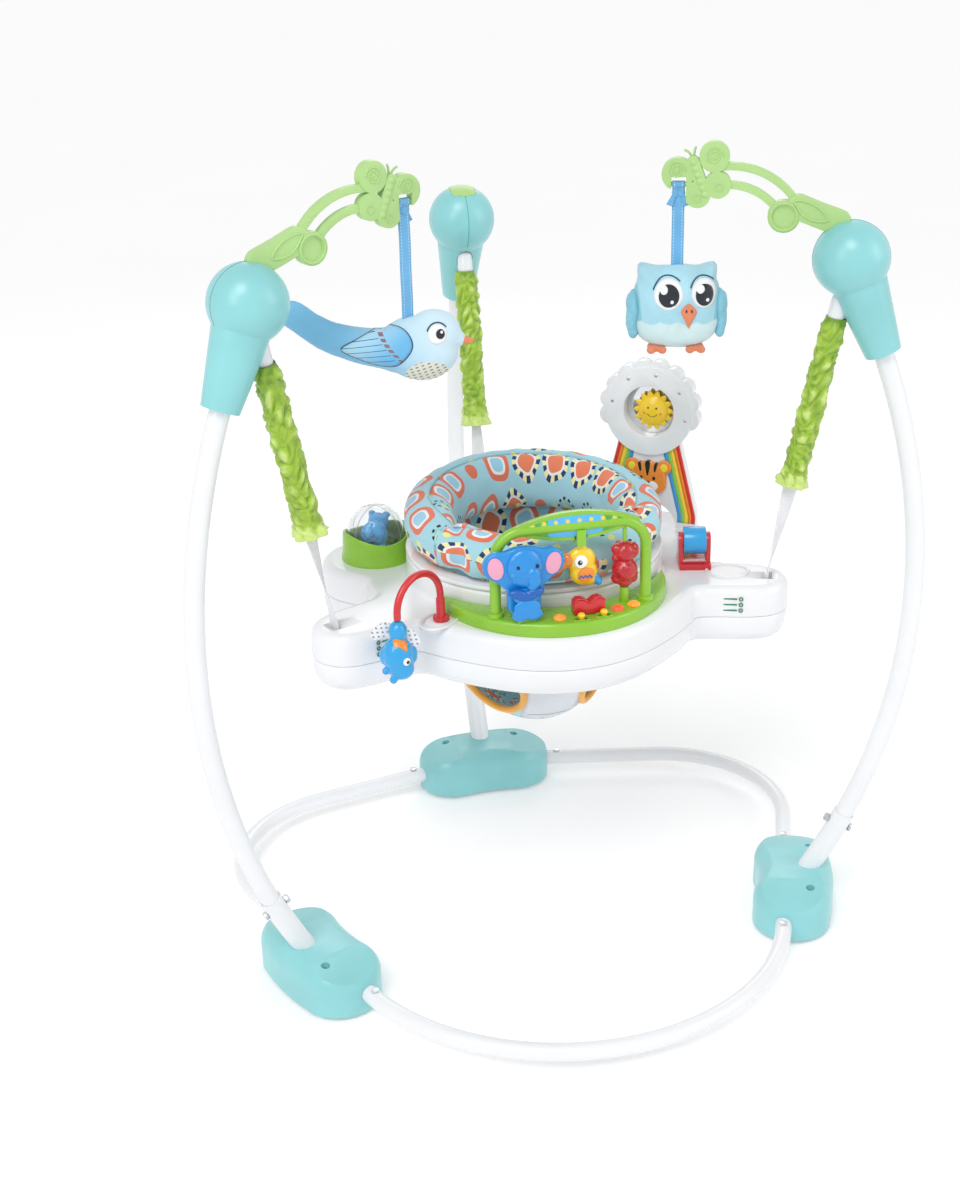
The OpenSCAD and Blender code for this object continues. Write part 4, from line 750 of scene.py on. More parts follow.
# Material, rounding of the edges in mm, and the nodes that have both
KEPT_NODES = [
    ("tube", 0, "base_tube_front base_tube_left base_tube_right post_left post_right post_back post_stubs"),
    ("teal", 0, "foot_left foot_right foot_back head_left_front head_left_rear head_right_front"),
    ("teal", 0, "head_right_rear head_back_left head_back_right"),
    ("steel", 0.4, "frame_screws spring_pins tray_screws"),
    ("leaf", 1.6, "toy_arm_left toy_arm_right"),
    ("leaf", 0.6, "arm_slot_cap"),
    ("pad", 1.0, "foot_pads"),
    ("white", 0.5, "battery_door"),
    ("white", 1.5, "seat_ring"),
    ("lime", 0.8, "panel_base panel_arch"),
    ("lens", 0.3, "light_lenses"),
    ("board", 0.2, "sound_module"),
    ("clear", 0, "dome_cover"),
    ("white", 2.2, "mirror_ring"),
    ("mirror", 0.3, "mirror_disc"),
    ("white", 1.2, "mirror_tower"),
    ("red", 1.2, "roller_cradle"),
    ("red", 0.5, "tether_stalk"),
]
for mat, bevel, names in KEPT_NODES:
    for name in names.split():
        finish_node(name, mat, bevel)

# Tray: two moulded shells whose outline flows between the round body, the arms and the lobes

TRAY_BODY_R = 196
TRAY_DISCS = ((0, 0, TRAY_BODY_R), (72, 270, 138), (190, 27, 66), (190, 153, 66))
OUTLINE_FINE, OUTLINE_STEPS = 7200, 640
JOIN_POWER, BLUR_REACH, BLUR_WIDTH = 40.0, 120, 30


def tray_outline():
    """The tray's edge at even steps: discs (reach, angle, radius) and arms, run together and softened."""
    a = circle(OUTLINE_FINE)

    def disc(reach, angle, r):
        d = a - rad(angle)
        inside = r * r - (reach * np.sin(d)) ** 2
        return np.where(inside > 0, reach * np.cos(d) + np.sqrt(np.maximum(inside, 0)), 1.0).clip(1.0)

    shapes = [disc(*d) for d in TRAY_DISCS]
    for angle in POSTS.values():
        d = (a - rad(angle) + math.pi) % TURN - math.pi
        side = ARM_HALF / np.maximum(np.abs(np.sin(d)), 1e-6)
        tip = ARM_REACH - ARM_HALF
        arm = np.where(side * np.cos(d) > tip, disc(tip, angle, ARM_HALF), side)
        shapes.append(np.where(np.cos(d) > 0, arm, 1.0))
    r = TRAY_BODY_R * np.sum((np.array(shapes) / TRAY_BODY_R) ** JOIN_POWER, 0) ** (1 / JOIN_POWER)
    kernel = np.exp(-(np.arange(-BLUR_REACH, BLUR_REACH + 1) / BLUR_WIDTH) ** 2 / 2)
    r = np.convolve(np.concatenate([r[-BLUR_REACH:], r, r[:BLUR_REACH]]), kernel / kernel.sum(), "valid")
    P = np.stack([r * np.cos(a), r * np.sin(a)], 1)
    P = np.concatenate([P, P[:1]])
    run = lengths(P)
    s = np.linspace(0, run[-1], OUTLINE_STEPS, endpoint=False)
    return np.stack([np.interp(s, run, P[:, k]) for k in (0, 1)], 1)


edge_line = tray_outline()
edge_way = edge_line / np.linalg.norm(edge_line, axis=1)[:, None]


def edge_ring(g, z):
    return [(x, y, z) for x, y in inset(edge_line, g)]


def round_ring(r, z):
    return [(x, y, z) for x, y in edge_way * r]


def between_rings(g, r, z, f):
    return [(x, y, z) for x, y in inset(edge_line, g) * (1 - f) + edge_way * r * f]


def quarter(r, steps=6):
    return [(r * (1 - math.cos(q)), r * math.sin(q)) for q in np.linspace(0, math.pi / 2, steps)]


tray_part = maker("", "white", "tray", "white_plastic")

RIM, FILLET, LIP, EDGE = 11, 5, 5, 3
rings = [edge_ring(g, TRAY_SEAM + h) for g, h in ((1.2, 0.1), (0.3, 0.6), (0, 1.6))]
rings += [edge_ring(g, TRAY_TOP - RIM + h) for g, h in quarter(RIM)]
rings += [between_rings(RIM, COLLAR_R + FILLET, TRAY_TOP, f) for f in (0.1, 0.35, 0.65, 0.9, 1.0)]
rings += [round_ring(COLLAR_R + FILLET - h, TRAY_TOP + g) for g, h in quarter(FILLET, 5)[1:]]
rings += [round_ring(COLLAR_R - g, COLLAR_Z - LIP + h) for g, h in quarter(LIP, 5)]
rings += [round_ring(BORE_R + EDGE - h, COLLAR_Z - g) for g, h in quarter(EDGE, 4)]
rings += [round_ring(BORE_R, TRAY_SEAM + 0.1)]
tray_upper = tray_part(grid, "tray_upper_shell", rings, wrap_u=True, wrap_v=True)
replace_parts(tray_upper, "tray_top")

LOWER_RIM = 16
lower_wall = [(1.2, 403.8), (0.3, 403.3), (0.0, 402.3), (0.6, 393), (2.2, 384), (5.5, 377), (10, 372.8)]
rings = [edge_ring(g, z) for g, z in (*lower_wall, (LOWER_RIM, 370.8))]
rings += [between_rings(LOWER_RIM, BORE_R + 4, TRAY_LOW + 0.6, f) for f in (0.3, 0.6, 0.9, 1.0)]
rings += [round_ring(BORE_R, TRAY_LOW + 4), round_ring(BORE_R, TRAY_SEAM - 0.2)]
tray_lower = tray_part(grid, "tray_lower_shell", rings, wrap_u=True, wrap_v=True)
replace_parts(tray_lower, "tray_bottom")

SLOT_SIZE = (10, 21, 50)
slots = bmesh.new()
for angle in POSTS.values():
    where = turned(angle) @ Matrix.Translation((SLOT_REACH, 0, TRAY_TOP))
    bmesh.ops.create_cube(slots, size=1.0, matrix=where @ Matrix.Diagonal((*SLOT_SIZE, 1)))
cut(tray_upper, slots)

SCREW_REACH, WELL_R, WELL_DEEP = 232, 4.4, 20
screw_spots = [turned(angle) @ Vector((SCREW_REACH, 0, TRAY_LOW)) for angle in POSTS.values()]
screw_spots += [Vector((side * LOBE[0], LOBE[1], TRAY_LOW)) for side in (-1, 1)]
screw_wells = bmesh.new()
for spot in screw_spots:
    add_bar(screw_wells, WELL_R, WELL_DEEP, 32, Matrix.Translation(spot))
cut(tray_lower, screw_wells)

TRAY_RIMS = {"tether_socket_rim": (221, 183, 27, 17), "arm_dish_rim": (340, 224, 24, 20)}
for name, (angle, reach, rx, ry) in TRAY_RIMS.items():
    loop = [(x, y, TRAY_TOP + 0.4) for x, y in arc(reach, 0, rx, ry, circle(64))]
    tray_part(tube, name, loop, 2.0, place=turned(angle) @ WORLD, closed=True)

MARK_Z, MARK_X, MARK_DOT_X = (413, 420, 427), (222, 236), 241
for post, side in (("left", 1), ("right", -1)):
    wall = turned(POSTS[post]) @ WORLD
    y = side * (ARM_HALF + 0.4)
    for i, z in enumerate(MARK_Z):
        name = f"height_mark_{post}_{i}"
        bar = [(x, y, z) for x in np.linspace(*MARK_X, 6)]
        tray_part(tube, name, bar, 0.9, mat="print_green", place=wall, sides=8)
        tray_part(hoop, name + "_dot", (MARK_DOT_X, z), 2, 2, 0.6, mat="print_green", place=wall, y=y)

# Seat: a padded roll on the ring and a hanging cloth seat with bound leg holes

seat_part = maker("", "seat", "seat", "seat_cloth")
PAD_LOW, PAD_FRONT, PAD_BACK, PAD_IN, PAD_OUT = 473.7, 527, 545, 82, 151
FOLDS, FOLD_LEAN, FOLD_WIDTH, FOLD_PULL = (208, 332), 12, 5.5, 0.30
PAD_STEPS, PAD_SECTION, PAD_ROUND, PAD_GIRTH, PRINT_JUMP = 200, 52, 756, 168, 23.0


def pad_point(a, q):
    """A point of the roll at angle a round the seat and q round its section, in degrees."""
    x, z = (math.copysign(abs(w) ** 0.8, w) for w in (math.cos(rad(q)), math.sin(rad(q))))
    fold = sum(bump_at(a, f + (FOLD_LEAN * x if f < 270 else -FOLD_LEAN * x), FOLD_WIDTH) for f in FOLDS)
    top = PAD_FRONT + (PAD_BACK - PAD_FRONT) * ((1 + math.sin(rad(a))) / 2) ** 1.3
    half = (PAD_OUT - PAD_IN) / 2 - 2.5
    h = (top - PAD_LOW) / 2 - 1.5
    pull = 1 - FOLD_PULL * fold
    r = (PAD_IN + PAD_OUT) / 2 + half * pull * x + (6 * (z + 1) if x < 0 else 0)
    return (r * math.cos(rad(a)), r * math.sin(rad(a)), PAD_LOW + 1 + h + h * z * (pull if z > 0 else 1))


def pad_uv(i, j):
    """The front and the back of the roll are cut from the cloth apart, so the print jumps at the folds."""
    a = 360 * i / PAD_STEPS
    shift = PRINT_JUMP if FOLDS[0] < a <= FOLDS[1] else 0.0
    return a / 360 * PAD_ROUND + shift, j / PAD_SECTION * PAD_GIRTH + shift


pad_rings = [[pad_point(360 * i / PAD_STEPS, 360 * j / PAD_SECTION) for j in range(PAD_SECTION)]
             for i in range(PAD_STEPS)]
seat_pad = seat_part(grid, "seat_roll", pad_rings, wrap_u=True, wrap_v=True, uv=pad_uv)
inflate(seat_pad, 2.0, 5.0)
crease(seat_pad, 55, 1.6)
ease(seat_pad, 2)
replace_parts(seat_pad, "seat_pad")

SLING_R, SLING_TOP, SLING_LOW = 129.3, 473.4, 250
SLING_STEPS, SLING_ROWS, SLING_PRINT = 120, 48, (300, 252)
LEG_R, LEG_Z, LEG_YAW, LEG_CUT = 46, 330, 52, 260


def sling_radius(z):
    return SLING_R * math.sqrt(max(0.0, 1 - ((SLING_TOP - z) / (SLING_TOP - SLING_LOW)) ** 2))


def sling_point(a, t):
    """A point of the bowl at angle a, from the rim at t = 0 to the middle of its bottom at t = 90."""
    x, y = math.cos(rad(a)), math.sin(rad(a))
    z = SLING_TOP - (SLING_TOP - SLING_LOW) * math.sin(rad(t))
    sag = 2.2 * noise.noise(Vector((x * 2.5, y * 2.5, z / 60))) * math.cos(rad(t)) ** 0.5
    r = sling_radius(z) - 1.5 + min(sag, 0.8)
    return (r * x, r * y, z + 1.5)


def sling_uv(i, j):
    return j / SLING_STEPS * PAD_ROUND, SLING_PRINT[0] + i / SLING_ROWS * SLING_PRINT[1]


sling_rings = [[sling_point(360 * j / SLING_STEPS, t) for j in range(SLING_STEPS)]
               for t in np.linspace(1, 88.5, SLING_ROWS)]
seat_sling = seat_part(grid, "seat_hanging", sling_rings, wrap_v=True, caps=(False, True), uv=sling_uv)
thicken(seat_sling, 2.0)
legs = bmesh.new()
for side in (-1, 1):
    where = Matrix.Translation((0, 0, LEG_Z)) @ turned(side * LEG_YAW) @ Matrix.Rotation(rad(90), 4, "X")
    add_bar(legs, LEG_R, LEG_CUT, 64, where @ Matrix.Translation((0, 0, LEG_CUT / 2)))
cut(seat_sling, legs)
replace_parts(seat_sling, "seat_sling")

panel_line = spline([(-29, 380), (0, 382), (29, 380), (32, 340), (33, 300), (24, 266), (-24, 266),
                     (-33, 300), (-32, 340)], 6)
crotch = seat_part(patch, "seat_crotch_panel", seat_sling, panel_line, mat="lining", lift=0.6)
seam_line = [(x, 279) for x in np.linspace(-25, 25, 16)]
seams = [seat_part(line_on, "seat_crotch_seam", seat_sling, seam_line, 0.9, mat="grey")]
for side, tag in ((-1, "right"), (1, "left")):
    loop = []
    for q in circle(72):
        u, z = LEG_R * math.cos(q), LEG_Z + LEG_R * math.sin(q)
        loop.append((u, 1.0 - math.sqrt(max(sling_radius(z) ** 2 - u * u, 0)), z))
    seams.append(seat_part(tube, "leg_binding_" + tag, loop, 4.2, mat="binding", closed=True,
                           place=turned(side * LEG_YAW) @ WORLD))

# Springs in gathered sleeves, and the straps below them

SPRING, COIL_R, WIRE_R, COIL_TURNS = (4.55, 210.6), 7.2, 1.25, 10.75
CLIP = [(0, 25), (6, 25.4), (8.6, 27.5), (9.4, 31), (9.4, 48), (8.8, 56), (8.6, 56), (0, 54)]
SLEEVE, HEM, SLEEVE_STEPS, SLEEVE_ROWS = (50, 244), 0.87, 96, 240
STRAP_START, STRAP_W, STRAP_T, STRAP_END_Z = 212.1, 18, 1.8, 396.3
STRETCH_START = 12


def line_frame(post):
    """Local Z runs down the spring line from the pin."""
    reach, high = PIN[post]
    tilt = math.atan2(reach - SLOT_REACH, high - LINE_END_Z)
    return turned(POSTS[post]) @ at(reach, 0, high) @ Matrix.Rotation(math.pi + tilt, 4, "Y")


def line_length(post):
    reach, high = PIN[post]
    return math.hypot(reach - SLOT_REACH, high - LINE_END_Z)


def sleeve_radius(v, a, seed):
    """Gathers on an elastic: crumpled folds that run round the sleeve and lean, and a loose frilled hem."""
    x, y = math.cos(a), math.sin(a)
    lean = v + 0.05 * math.sin(a + seed + 4 * v) + 0.03 * noise.noise(Vector((x, y, v * 6 + seed)))
    near, far = noise.voronoi(Vector((x * 1.1, y * 1.1 + seed, lean * 13)))[0][:2]
    fold = 1 - 2.2 * abs(noise.noise(Vector((x * 1.3, y * 1.3 + seed, lean * 26))))
    r = 11.4 + 3.6 * min(1.0, 1.5 * (far - near)) + 1.3 * fold
    r -= 3.0 * max(0.0, 1 - v / 0.05)
    if v > HEM:
        f = (v - HEM) / (1 - HEM)
        r += 5.0 * f ** 1.4 + 1.5 * f * math.sin(7 * a + seed)
    return max(r, 10.6)


def sleeve(post, seed, place):
    turns, stops = circle(SLEEVE_STEPS), np.linspace(0, 1, SLEEVE_ROWS)
    radii = [[sleeve_radius(v, a, seed) for a in turns] for v in stops]
    rings = []
    for v, row in zip(stops, radii):
        z = SLEEVE[0] + v * (SLEEVE[1] - SLEEVE[0])
        rings.append([(r * math.cos(a), r * math.sin(a), z) for a, r in zip(turns, row)])
    # The UV holds each point's fold radius, which the satin material turns into painted shade in the valleys
    # and a painted highlight on the crests.
    o = grid("spring_sleeve_" + post, rings, "satin", None, "sleeve_satin", place, wrap_v=True,
             uv=lambda i, j: (j, radii[i][j % len(turns)]))
    thicken(o, 0.7, -1.0)
    return o


def strap_section():
    """Round the strap's section: (across, through) in mm."""
    def soft(x, power):
        return math.copysign(abs(x) ** power, x)
    return [(soft(math.cos(t), 0.5) * STRAP_W / 2, soft(math.sin(t), 0.7) * STRAP_T / 2) for t in circle(28)]


def strap(post):
    """Webbing from the spring's end to the tray. It turns a quarter, then goes down through the slot."""
    reach, high = PIN[post]
    length = line_length(post)
    pin, slot = np.array([reach, 0, high]), np.array([SLOT_REACH, 0, LINE_END_Z])
    level, side = np.array([high - LINE_END_Z, 0, SLOT_REACH - reach]) / length, np.array([0, 1.0, 0])
    stops = [(pin + (slot - pin) * s / length, level, s) for s in np.linspace(STRAP_START, length, 40)]
    tray_end, end_length = np.array([SLOT_REACH, 0, STRAP_END_Z]), length + LINE_END_Z - STRAP_END_Z
    stops.append((tray_end, np.array([1.0, 0, 0]), end_length))
    section = strap_section()
    rings = []
    for middle, flat, s in stops:
        q = rad(90) * min((s - STRAP_START) / (length - STRAP_START), 1)
        wide = math.cos(q) * flat + math.sin(q) * side
        through = -math.sin(q) * flat + math.cos(q) * side
        rings.append([middle + wide * u + through * w for u, w in section])
    o = grid("strap_" + post, rings, "webbing", "tray", "webbing", turned(POSTS[post]) @ WORLD, wrap_v=True,
             caps=(True, True), uv=lambda i, j: (section[j % len(section)][0], stops[i][2]))
    return o


sleeves, springs, straps = [], [], []
for seed, post in enumerate(POSTS):
    place = line_frame(post)
    low, high = SPRING
    coil = [(COIL_R * math.cos(t), COIL_R * math.sin(t), low + (high - low) * t / (TURN * COIL_TURNS))
            for t in np.linspace(0, TURN * COIL_TURNS, 260)]
    springs.append(tube("spring_" + post, coil, WIRE_R, "steel", None, "spring_steel", place, sides=8))
    clip = lathe("spring_clip_" + post, CLIP, "white", None, "white_plastic", place, 32)
    top, bottom = (place @ Vector((0, 0, s)) for s in (STRETCH_START, line_length(post)))
    sleeves.append(sleeve(post, seed * 3.7, place))
    for o in (sleeves[-1], springs[-1], clip):
        tuple(top)
        tuple(bottom)
        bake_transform(o)
    straps.append(strap(post))
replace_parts(sleeves[0], "spring_sleeves")
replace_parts(springs[0], "springs")
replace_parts(straps[0], "straps")

# Heads: the seam between the half shells, and the cover over the back head's unused arm slot


def ball_frame(post, inward=0, up=0):
    """A frame at the middle of a post's ball head. Local X runs outwards."""
    reach, high = BALL[post]
    return turned(POSTS[post]) @ at(reach - inward, 0, high + up)


HEAD_R = 41
for post, (start, end) in {"left": (-44, 222), "right": (-44, 222), "back": (-44, 52)}.items():
    turns = np.radians(np.linspace(start, end, 60))
    seam = [(x, 0, z) for x, z in arc(0, 0, -HEAD_R, HEAD_R, turns)]
    tube("head_seam_" + post, seam, 0.4, "teal_seam", "frame", "teal_plastic", ball_frame(post), sides=8)

COVER_MIDDLE, COVER_REACH, COVER_HALF, COVER_PROUD = 78, 23, 15.5, 0.9
cover_rows = []
for t in np.linspace(-0.995, 0.995, 26):
    lift, half = rad(COVER_MIDDLE + COVER_REACH * t), COVER_HALF * (1 - abs(t) ** 5) ** 0.2
    slants = np.arcsin(np.linspace(-half, half, 15) / HEAD_R)
    ways = [(-math.cos(lift) * math.cos(w), math.sin(w), math.sin(lift) * math.cos(w)) for w in slants]
    cover_rows.append(np.array(ways) * (HEAD_R + COVER_PROUD))
cover = grid("arm_slot_cover", cover_rows, "leaf", "frame", "green_plastic", ball_frame("back"))
thicken(cover, 1.6, -1.0)

# Toy arms: spirals, rims and a ribbed body on the butterfly, a leaf on the root

WING_FACE, WING_CURLS, WING_RINGS = 5.6, ((-147, 106), (-186, 91)), ((-141, 74), (-164, 62))
CURL_R, ARM_BOSS, BOSS_R = 9.5, (-73, 44), 14.2
ARM_LEAF = [(-62, 60), (-50, 60), (-36, 53), (-27, 41), (-40, 40), (-53, 46)]
FEELER_X, FEELER_Z, FEELERS = -169, 102, ((-9, 9), (2, 12))

for post in ("left", "right"):
    arm_part = maker(f"toy_arm_{post}_", "leaf", "frame", "green_plastic", ball_frame(post))
    for face, tag in ((-WING_FACE, "a"), (WING_FACE, "b")):
        for i, (cx, cz) in enumerate(WING_CURLS):
            curl = [(cx + CURL_R * (1 - t / 16) * math.cos(t), face, cz + CURL_R * (1 - t / 16) * math.sin(t))
                    for t in np.linspace(0, 13, 90)]
            arm_part(tube, f"spiral_{tag}{i}", curl, 0.85, sides=8)
        for i, centre in enumerate(WING_RINGS):
            arm_part(hoop, f"ring_{tag}{i}", centre, 4, 4, 0.8, y=face)
        arm_part(hoop, f"boss_rim_{tag}", ARM_BOSS, BOSS_R, BOSS_R, 1.5, y=face)
        leaf = [(x, face, z) for x, z in spline(ARM_LEAF, 8)]
        arm_part(tube, f"leaf_{tag}", leaf, 1.2, closed=True)
    beads = [((-169 + 13 * f, 0, 99 - 33 * f), (6.4 - 1.2 * abs(f - 0.4), 7.6, 5.4))
             for f in np.linspace(0, 1, 6)]
    arm_part(blob, "butterfly", beads, voxel=0.9, soften=3)
    for i, (dx, dz) in enumerate(FEELERS):
        bend = [(FEELER_X + dx * f, 0, FEELER_Z + dz * g) for f, g in ((0, 0), (0.5, 0.7), (1, 1))]
        arm_part(tube, f"feeler_{i}", spline(bend, 6, closed=False), 1.3, sides=8)

# Hanging toys: ribbon, stuffed body, sewn parts

BAR_IN, BAR_UP, RIBBON_W, RIBBON_LOOP, RIBBON_GAP, KNOT_Z = 184, 76, 13, 3.3, 0.5, -7


def ribbon(toy, post, length):
    """A strip up, round the bar and down again, stitched along both edges, with a knot under the bar."""
    part = maker(toy + "_ribbon_", "knot", toy + "_toy", "blue_ribbon", ball_frame(post, BAR_IN, BAR_UP))
    path = [(RIBBON_GAP, z) for z in np.linspace(-length, KNOT_Z, 24)]
    path += arc(0, 0, RIBBON_LOOP, RIBBON_LOOP, np.linspace(-1.1, math.pi + 1.1, 24))
    path += [(-RIBBON_GAP, z) for z in np.linspace(KNOT_Z, -length, 24)]
    far = lengths(np.array(path))
    wide = np.linspace(-RIBBON_W / 2, RIBBON_W / 2, 7)
    rows = [[(x, y + 0.25 * math.sin(z / 9), z) for x in wide] for y, z in path]
    strip = thicken(part(grid, "strip", rows, mat="ribbon", uv=lambda i, j: (wide[j], far[i])), 0.7)
    lumps = [((0, 0, -9), (7.4, 2.6, 4.2)), ((-3, -1.2, -9), (3.4, 2.2, 5.0)), ((4, -1, -10), (3, 2, 4))]
    knot = part(blob, "knot", lumps, voxel=0.7, soften=2)
    for side, tag in ((-1, "a"), (1, "b")):
        tail = [[(side * (4 + 5 * f) + w * (0.4 + 0.5 * f), -1.8 - 1.5 * f, -10 - 12 * f + side * w * 0.3)
                 for w in (-4, -1.3, 1.3, 4)] for f in np.linspace(0, 1, 8)]
        thicken(part(grid, "tail_" + tag, tail), 0.6)
    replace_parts(strip, toy + "_ribbon")


ribbon("bird", "left", 126)
ribbon("owl", "right", 92)

OWL = at(147.575, -59.624, 751.18, -14)
BIRD = at(-147.575, -59.624, 735.18, -14)


def plush(name):
    return Mat(name, 0.9, 0.2, Sheen_Weight=0.5, Sheen_Roughness=0.4)


owl_fur = plush("owl_plush")
ox, _, oz = owl_fur.xyz(place=OWL)
scallop = abs((ox * 0.16).sin()) * 3.0
belly = (oz + scallop + owl_fur.noise(40) * 5.0).ramp(-9.0, -6.0)
side_panel = (abs(ox) + (oz - 10.0) * -0.12).ramp(40.0, 42.0)
owl_tone = owl_fur.mix(side_panel, owl_fur.tone((0.43, 0.74, 0.86), 0.1, 30.0), (0.26, 0.60, 0.70))
owl_fur.put("Base Color", owl_fur.mix(belly, (0.66, 0.84, 0.86), owl_tone))
M["owl"] = owl_fur.weave(1.0, 0.4)

bird_fur = plush("bird_plush")
bx, _, bz = bird_fur.xyz(place=BIRD)
bird_tone = bird_fur.mix((bx + bz * 0.6).ramp(-70.0, 45.0), (0.22, 0.54, 0.82), (0.64, 0.82, 0.92))
chest = ((bx - 20.0) ** 2.0 / 560.0 + (bz + 32.0) ** 2.0 / 300.0) < 1.0
speck = ((bx * 0.9 + bz * 0.3).sin() > 0.1) * (((bz - bx * 0.35) * 1.5).sin() > 0.3)
chest_tone = bird_fur.mix(speck, (0.76, 0.77, 0.68), (0.28, 0.25, 0.23))
bird_fur.put("Base Color", bird_fur.mix(chest, bird_tone, chest_tone))
M["bird"] = bird_fur.weave(1.0, 0.35)

wing_cloth = plush("bird_wing")
bx, _, bz = wing_cloth.xyz(place=BIRD)
row = abs(bx + 22.0 + (bz - 2.0) * 0.75 - (bz - 2.0) * (bz - 2.0) * 0.012)
marks = (row < 2.6) * ((bz / 5.2).fract() < 0.62)
feathers = ((bx + bz * 0.75) < -24.0) * (((bz - bx * 0.12) / 6.0).fract() < 0.10)
wing_tone = wing_cloth.mix((bx - bz).ramp(-60.0, 0.0), (0.45, 0.74, 0.92), (0.16, 0.48, 0.80))
marked = wing_cloth.mix(marks, wing_tone, (0.30, 0.17, 0.19))
wing_cloth.put("Base Color", wing_cloth.mix(feathers, marked, NAVY))
M["bird_wing"] = wing_cloth.weave(1.0, 0.35)


def owl_radius(a):
    """A squarish outline with two pointed ears."""
    r = 1 / ((abs(math.cos(a)) / 47) ** 3 + (abs(math.sin(a)) / 44) ** 3) ** (1 / 3)
    return r + 12.5 * (bump_at(math.degrees(a), 49, 8) + bump_at(math.degrees(a), 131, 8))


def pillow(name, radius_at, deep, mat, body, slot, place):
    """A stuffed form sewn from a front and a back, with its seam round the outline."""
    outline = [(a, radius_at(a)) for a in circle(108)]
    rings = []
    for t in np.linspace(rad(-88), rad(88), 36):
        c, y = math.cos(t) ** 0.62, deep * math.sin(t)
        rings.append([(c * r * math.cos(a), y, c * r * math.sin(a)) for a, r in outline])
    return grid(name, rings, mat, body, slot, place, wrap_v=True, caps=(True, True))


def stuff(o, scale, depth, node):
    """Swells a stuffed toy, puckers its cloth and hides its node."""
    inflate(o, 3.0, 4.0)
    crease(o, scale, depth)
    ease(o, 3)
    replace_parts(o, node)


owl = pillow("owl_plush_body", owl_radius, 31, "owl", "owl_toy", "owl_plush", OWL)
stuff(owl, 60, 1.1, "owl_body")
owl_part = maker("owl_", "felt", "owl_toy", "owl_felt", OWL)
for side, tag in SIDES:
    puff = [((side * 46, -1, 0), (7, 18, 20)), ((side * 48, -2, -12), (7, 15, 18)),
            ((side * 49, -3, 4), (6, 11, 13)), ((side * 47, -4, -24), (6, 10, 10))]
    wing = crease(owl_part(blob, "wing_" + tag, puff, mat="wing_plush"), 90, 1.0)
    x = side * 21
    toes = [((x - 1, -9, -42), (10, 12, 5)), ((x - 7, -18, -43.5), (5, 7.5, 4)),
            ((x + 5, -18, -43.5), (5, 7.5, 4))]
    owl_part(blob, "foot_" + tag, toes)
    if tag == "left":
        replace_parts(wing, "owl_trim")

OWL_EYES = {"left": (-11, 19, 15.5, 16.5, 11.0, 12.0), "right": (27, 20, 13.5, 15.5, 9.5, 11.5)}
for tag, (x, z, rx, rz, px, pz) in OWL_EYES.items():
    for name, outline, mat, lift in (
            ("eye_", oval(x, z, rx, rz), "eye_cloth", 0.5),
            ("pupil_", oval(x + 0.5, z - 1.5, px, pz), "pupil_cloth", 1.0),
            ("glint_", oval(x - px * 0.45, z + pz * 0.42, 4.2, 4.6), "eye_cloth", 1.4),
            ("spark_", oval(x + px * 0.35, z - pz * 0.62, 1.7, 1.8), "eye_cloth", 1.4)):
        owl_part(patch, name + tag, owl, outline, mat=mat, lift=lift)
    brow = arc(x, z + 2.0, rx + 1.0, rz + 0.5, np.linspace(0.75, 2.9, 24))
    owl_part(line_on, "brow_" + tag, owl, brow, 0.8, mat="thread")
beak_line = spline([(11, 9), (16, 6), (19.5, 0), (15, -9), (11, -17), (7, -9), (2.5, 0), (6, 6)], 6)
owl_part(patch, "beak", owl, beak_line, lift=0.8, dome=3.5)
for tag, x in (("left", 8.0), ("right", 14.0)):
    owl_part(patch, "nostril_" + tag, owl, oval(x, 1, 0.9, 2.0, 16), mat="thread", lift=4.2)

bird_balls = [((27, 0, 9), (29, 22, 26)), ((12, 0, -10), (40, 26, 31)), ((2, 0, 6), (28, 21, 22)),
              ((52, 0, 3), (10, 9, 8))]
tail_line = spline([(-14, 0, -8), (-52, 0, -2), (-88, 0, 10), (-124, 0, 34)], 6, closed=False)
for f, centre in zip(np.linspace(0, 1, len(tail_line)), tail_line):
    bird_balls.append((centre, (20 - 9 * f, 21 - 15 * f, 25 - 9 * f - 6 * f * (1 - f)), 12 + 30 * f))
bird = blob("bird_plush_body", bird_balls, "bird", "bird_toy", "bird_plush", BIRD, voxel=2.2, soften=14)
stuff(bird, 50, 0.8, "bird_body")
bird_part = maker("bird_", "felt", "bird_toy", "bird_felt", BIRD)
beak_balls = [((58, 0, 2), (5, 6, 5)), ((63, 0, 1), (4.5, 3.6, 3.2)), ((66, 0, 0.5), (3, 2, 1.8))]
bird_beak = bird_part(blob, "beak", beak_balls, voxel=0.7)
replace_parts(bird_beak, "bird_trim")

wing_line = spline([(4, -2), (2, 12), (-10, 20), (-30, 17), (-52, 8), (-70, -3), (-52, -13), (-32, -20),
                    (-12, -19)], 9)
bird_part(patch, "wing", bird, wing_line, mat="bird_wing", lift=0.7, dome=1.6)
bird_part(line_on, "wing_seam", bird, [*wing_line, wing_line[0]], 0.7, mat="thread")
bird_part(patch, "eye", bird, oval(31, 13, 9.6, 10.2), mat="eye_cloth", lift=0.5)
bird_part(patch, "pupil", bird, oval(34, 13.5, 4.4, 5.0, 28), mat="pupil_cloth", lift=1.0)
bird_part(patch, "glint", bird, oval(35.2, 15.4, 1.3, 1.4, 16), mat="eye_cloth", lift=1.4)
brow = arc(31, 14.5, 10.5, 10.2, np.linspace(0.6, 2.9, 24))
bird_part(line_on, "brow", bird, brow, 0.8, mat="thread")

# Green panel: elephant, parrot, perch, spinner, switches and the strip on the arch

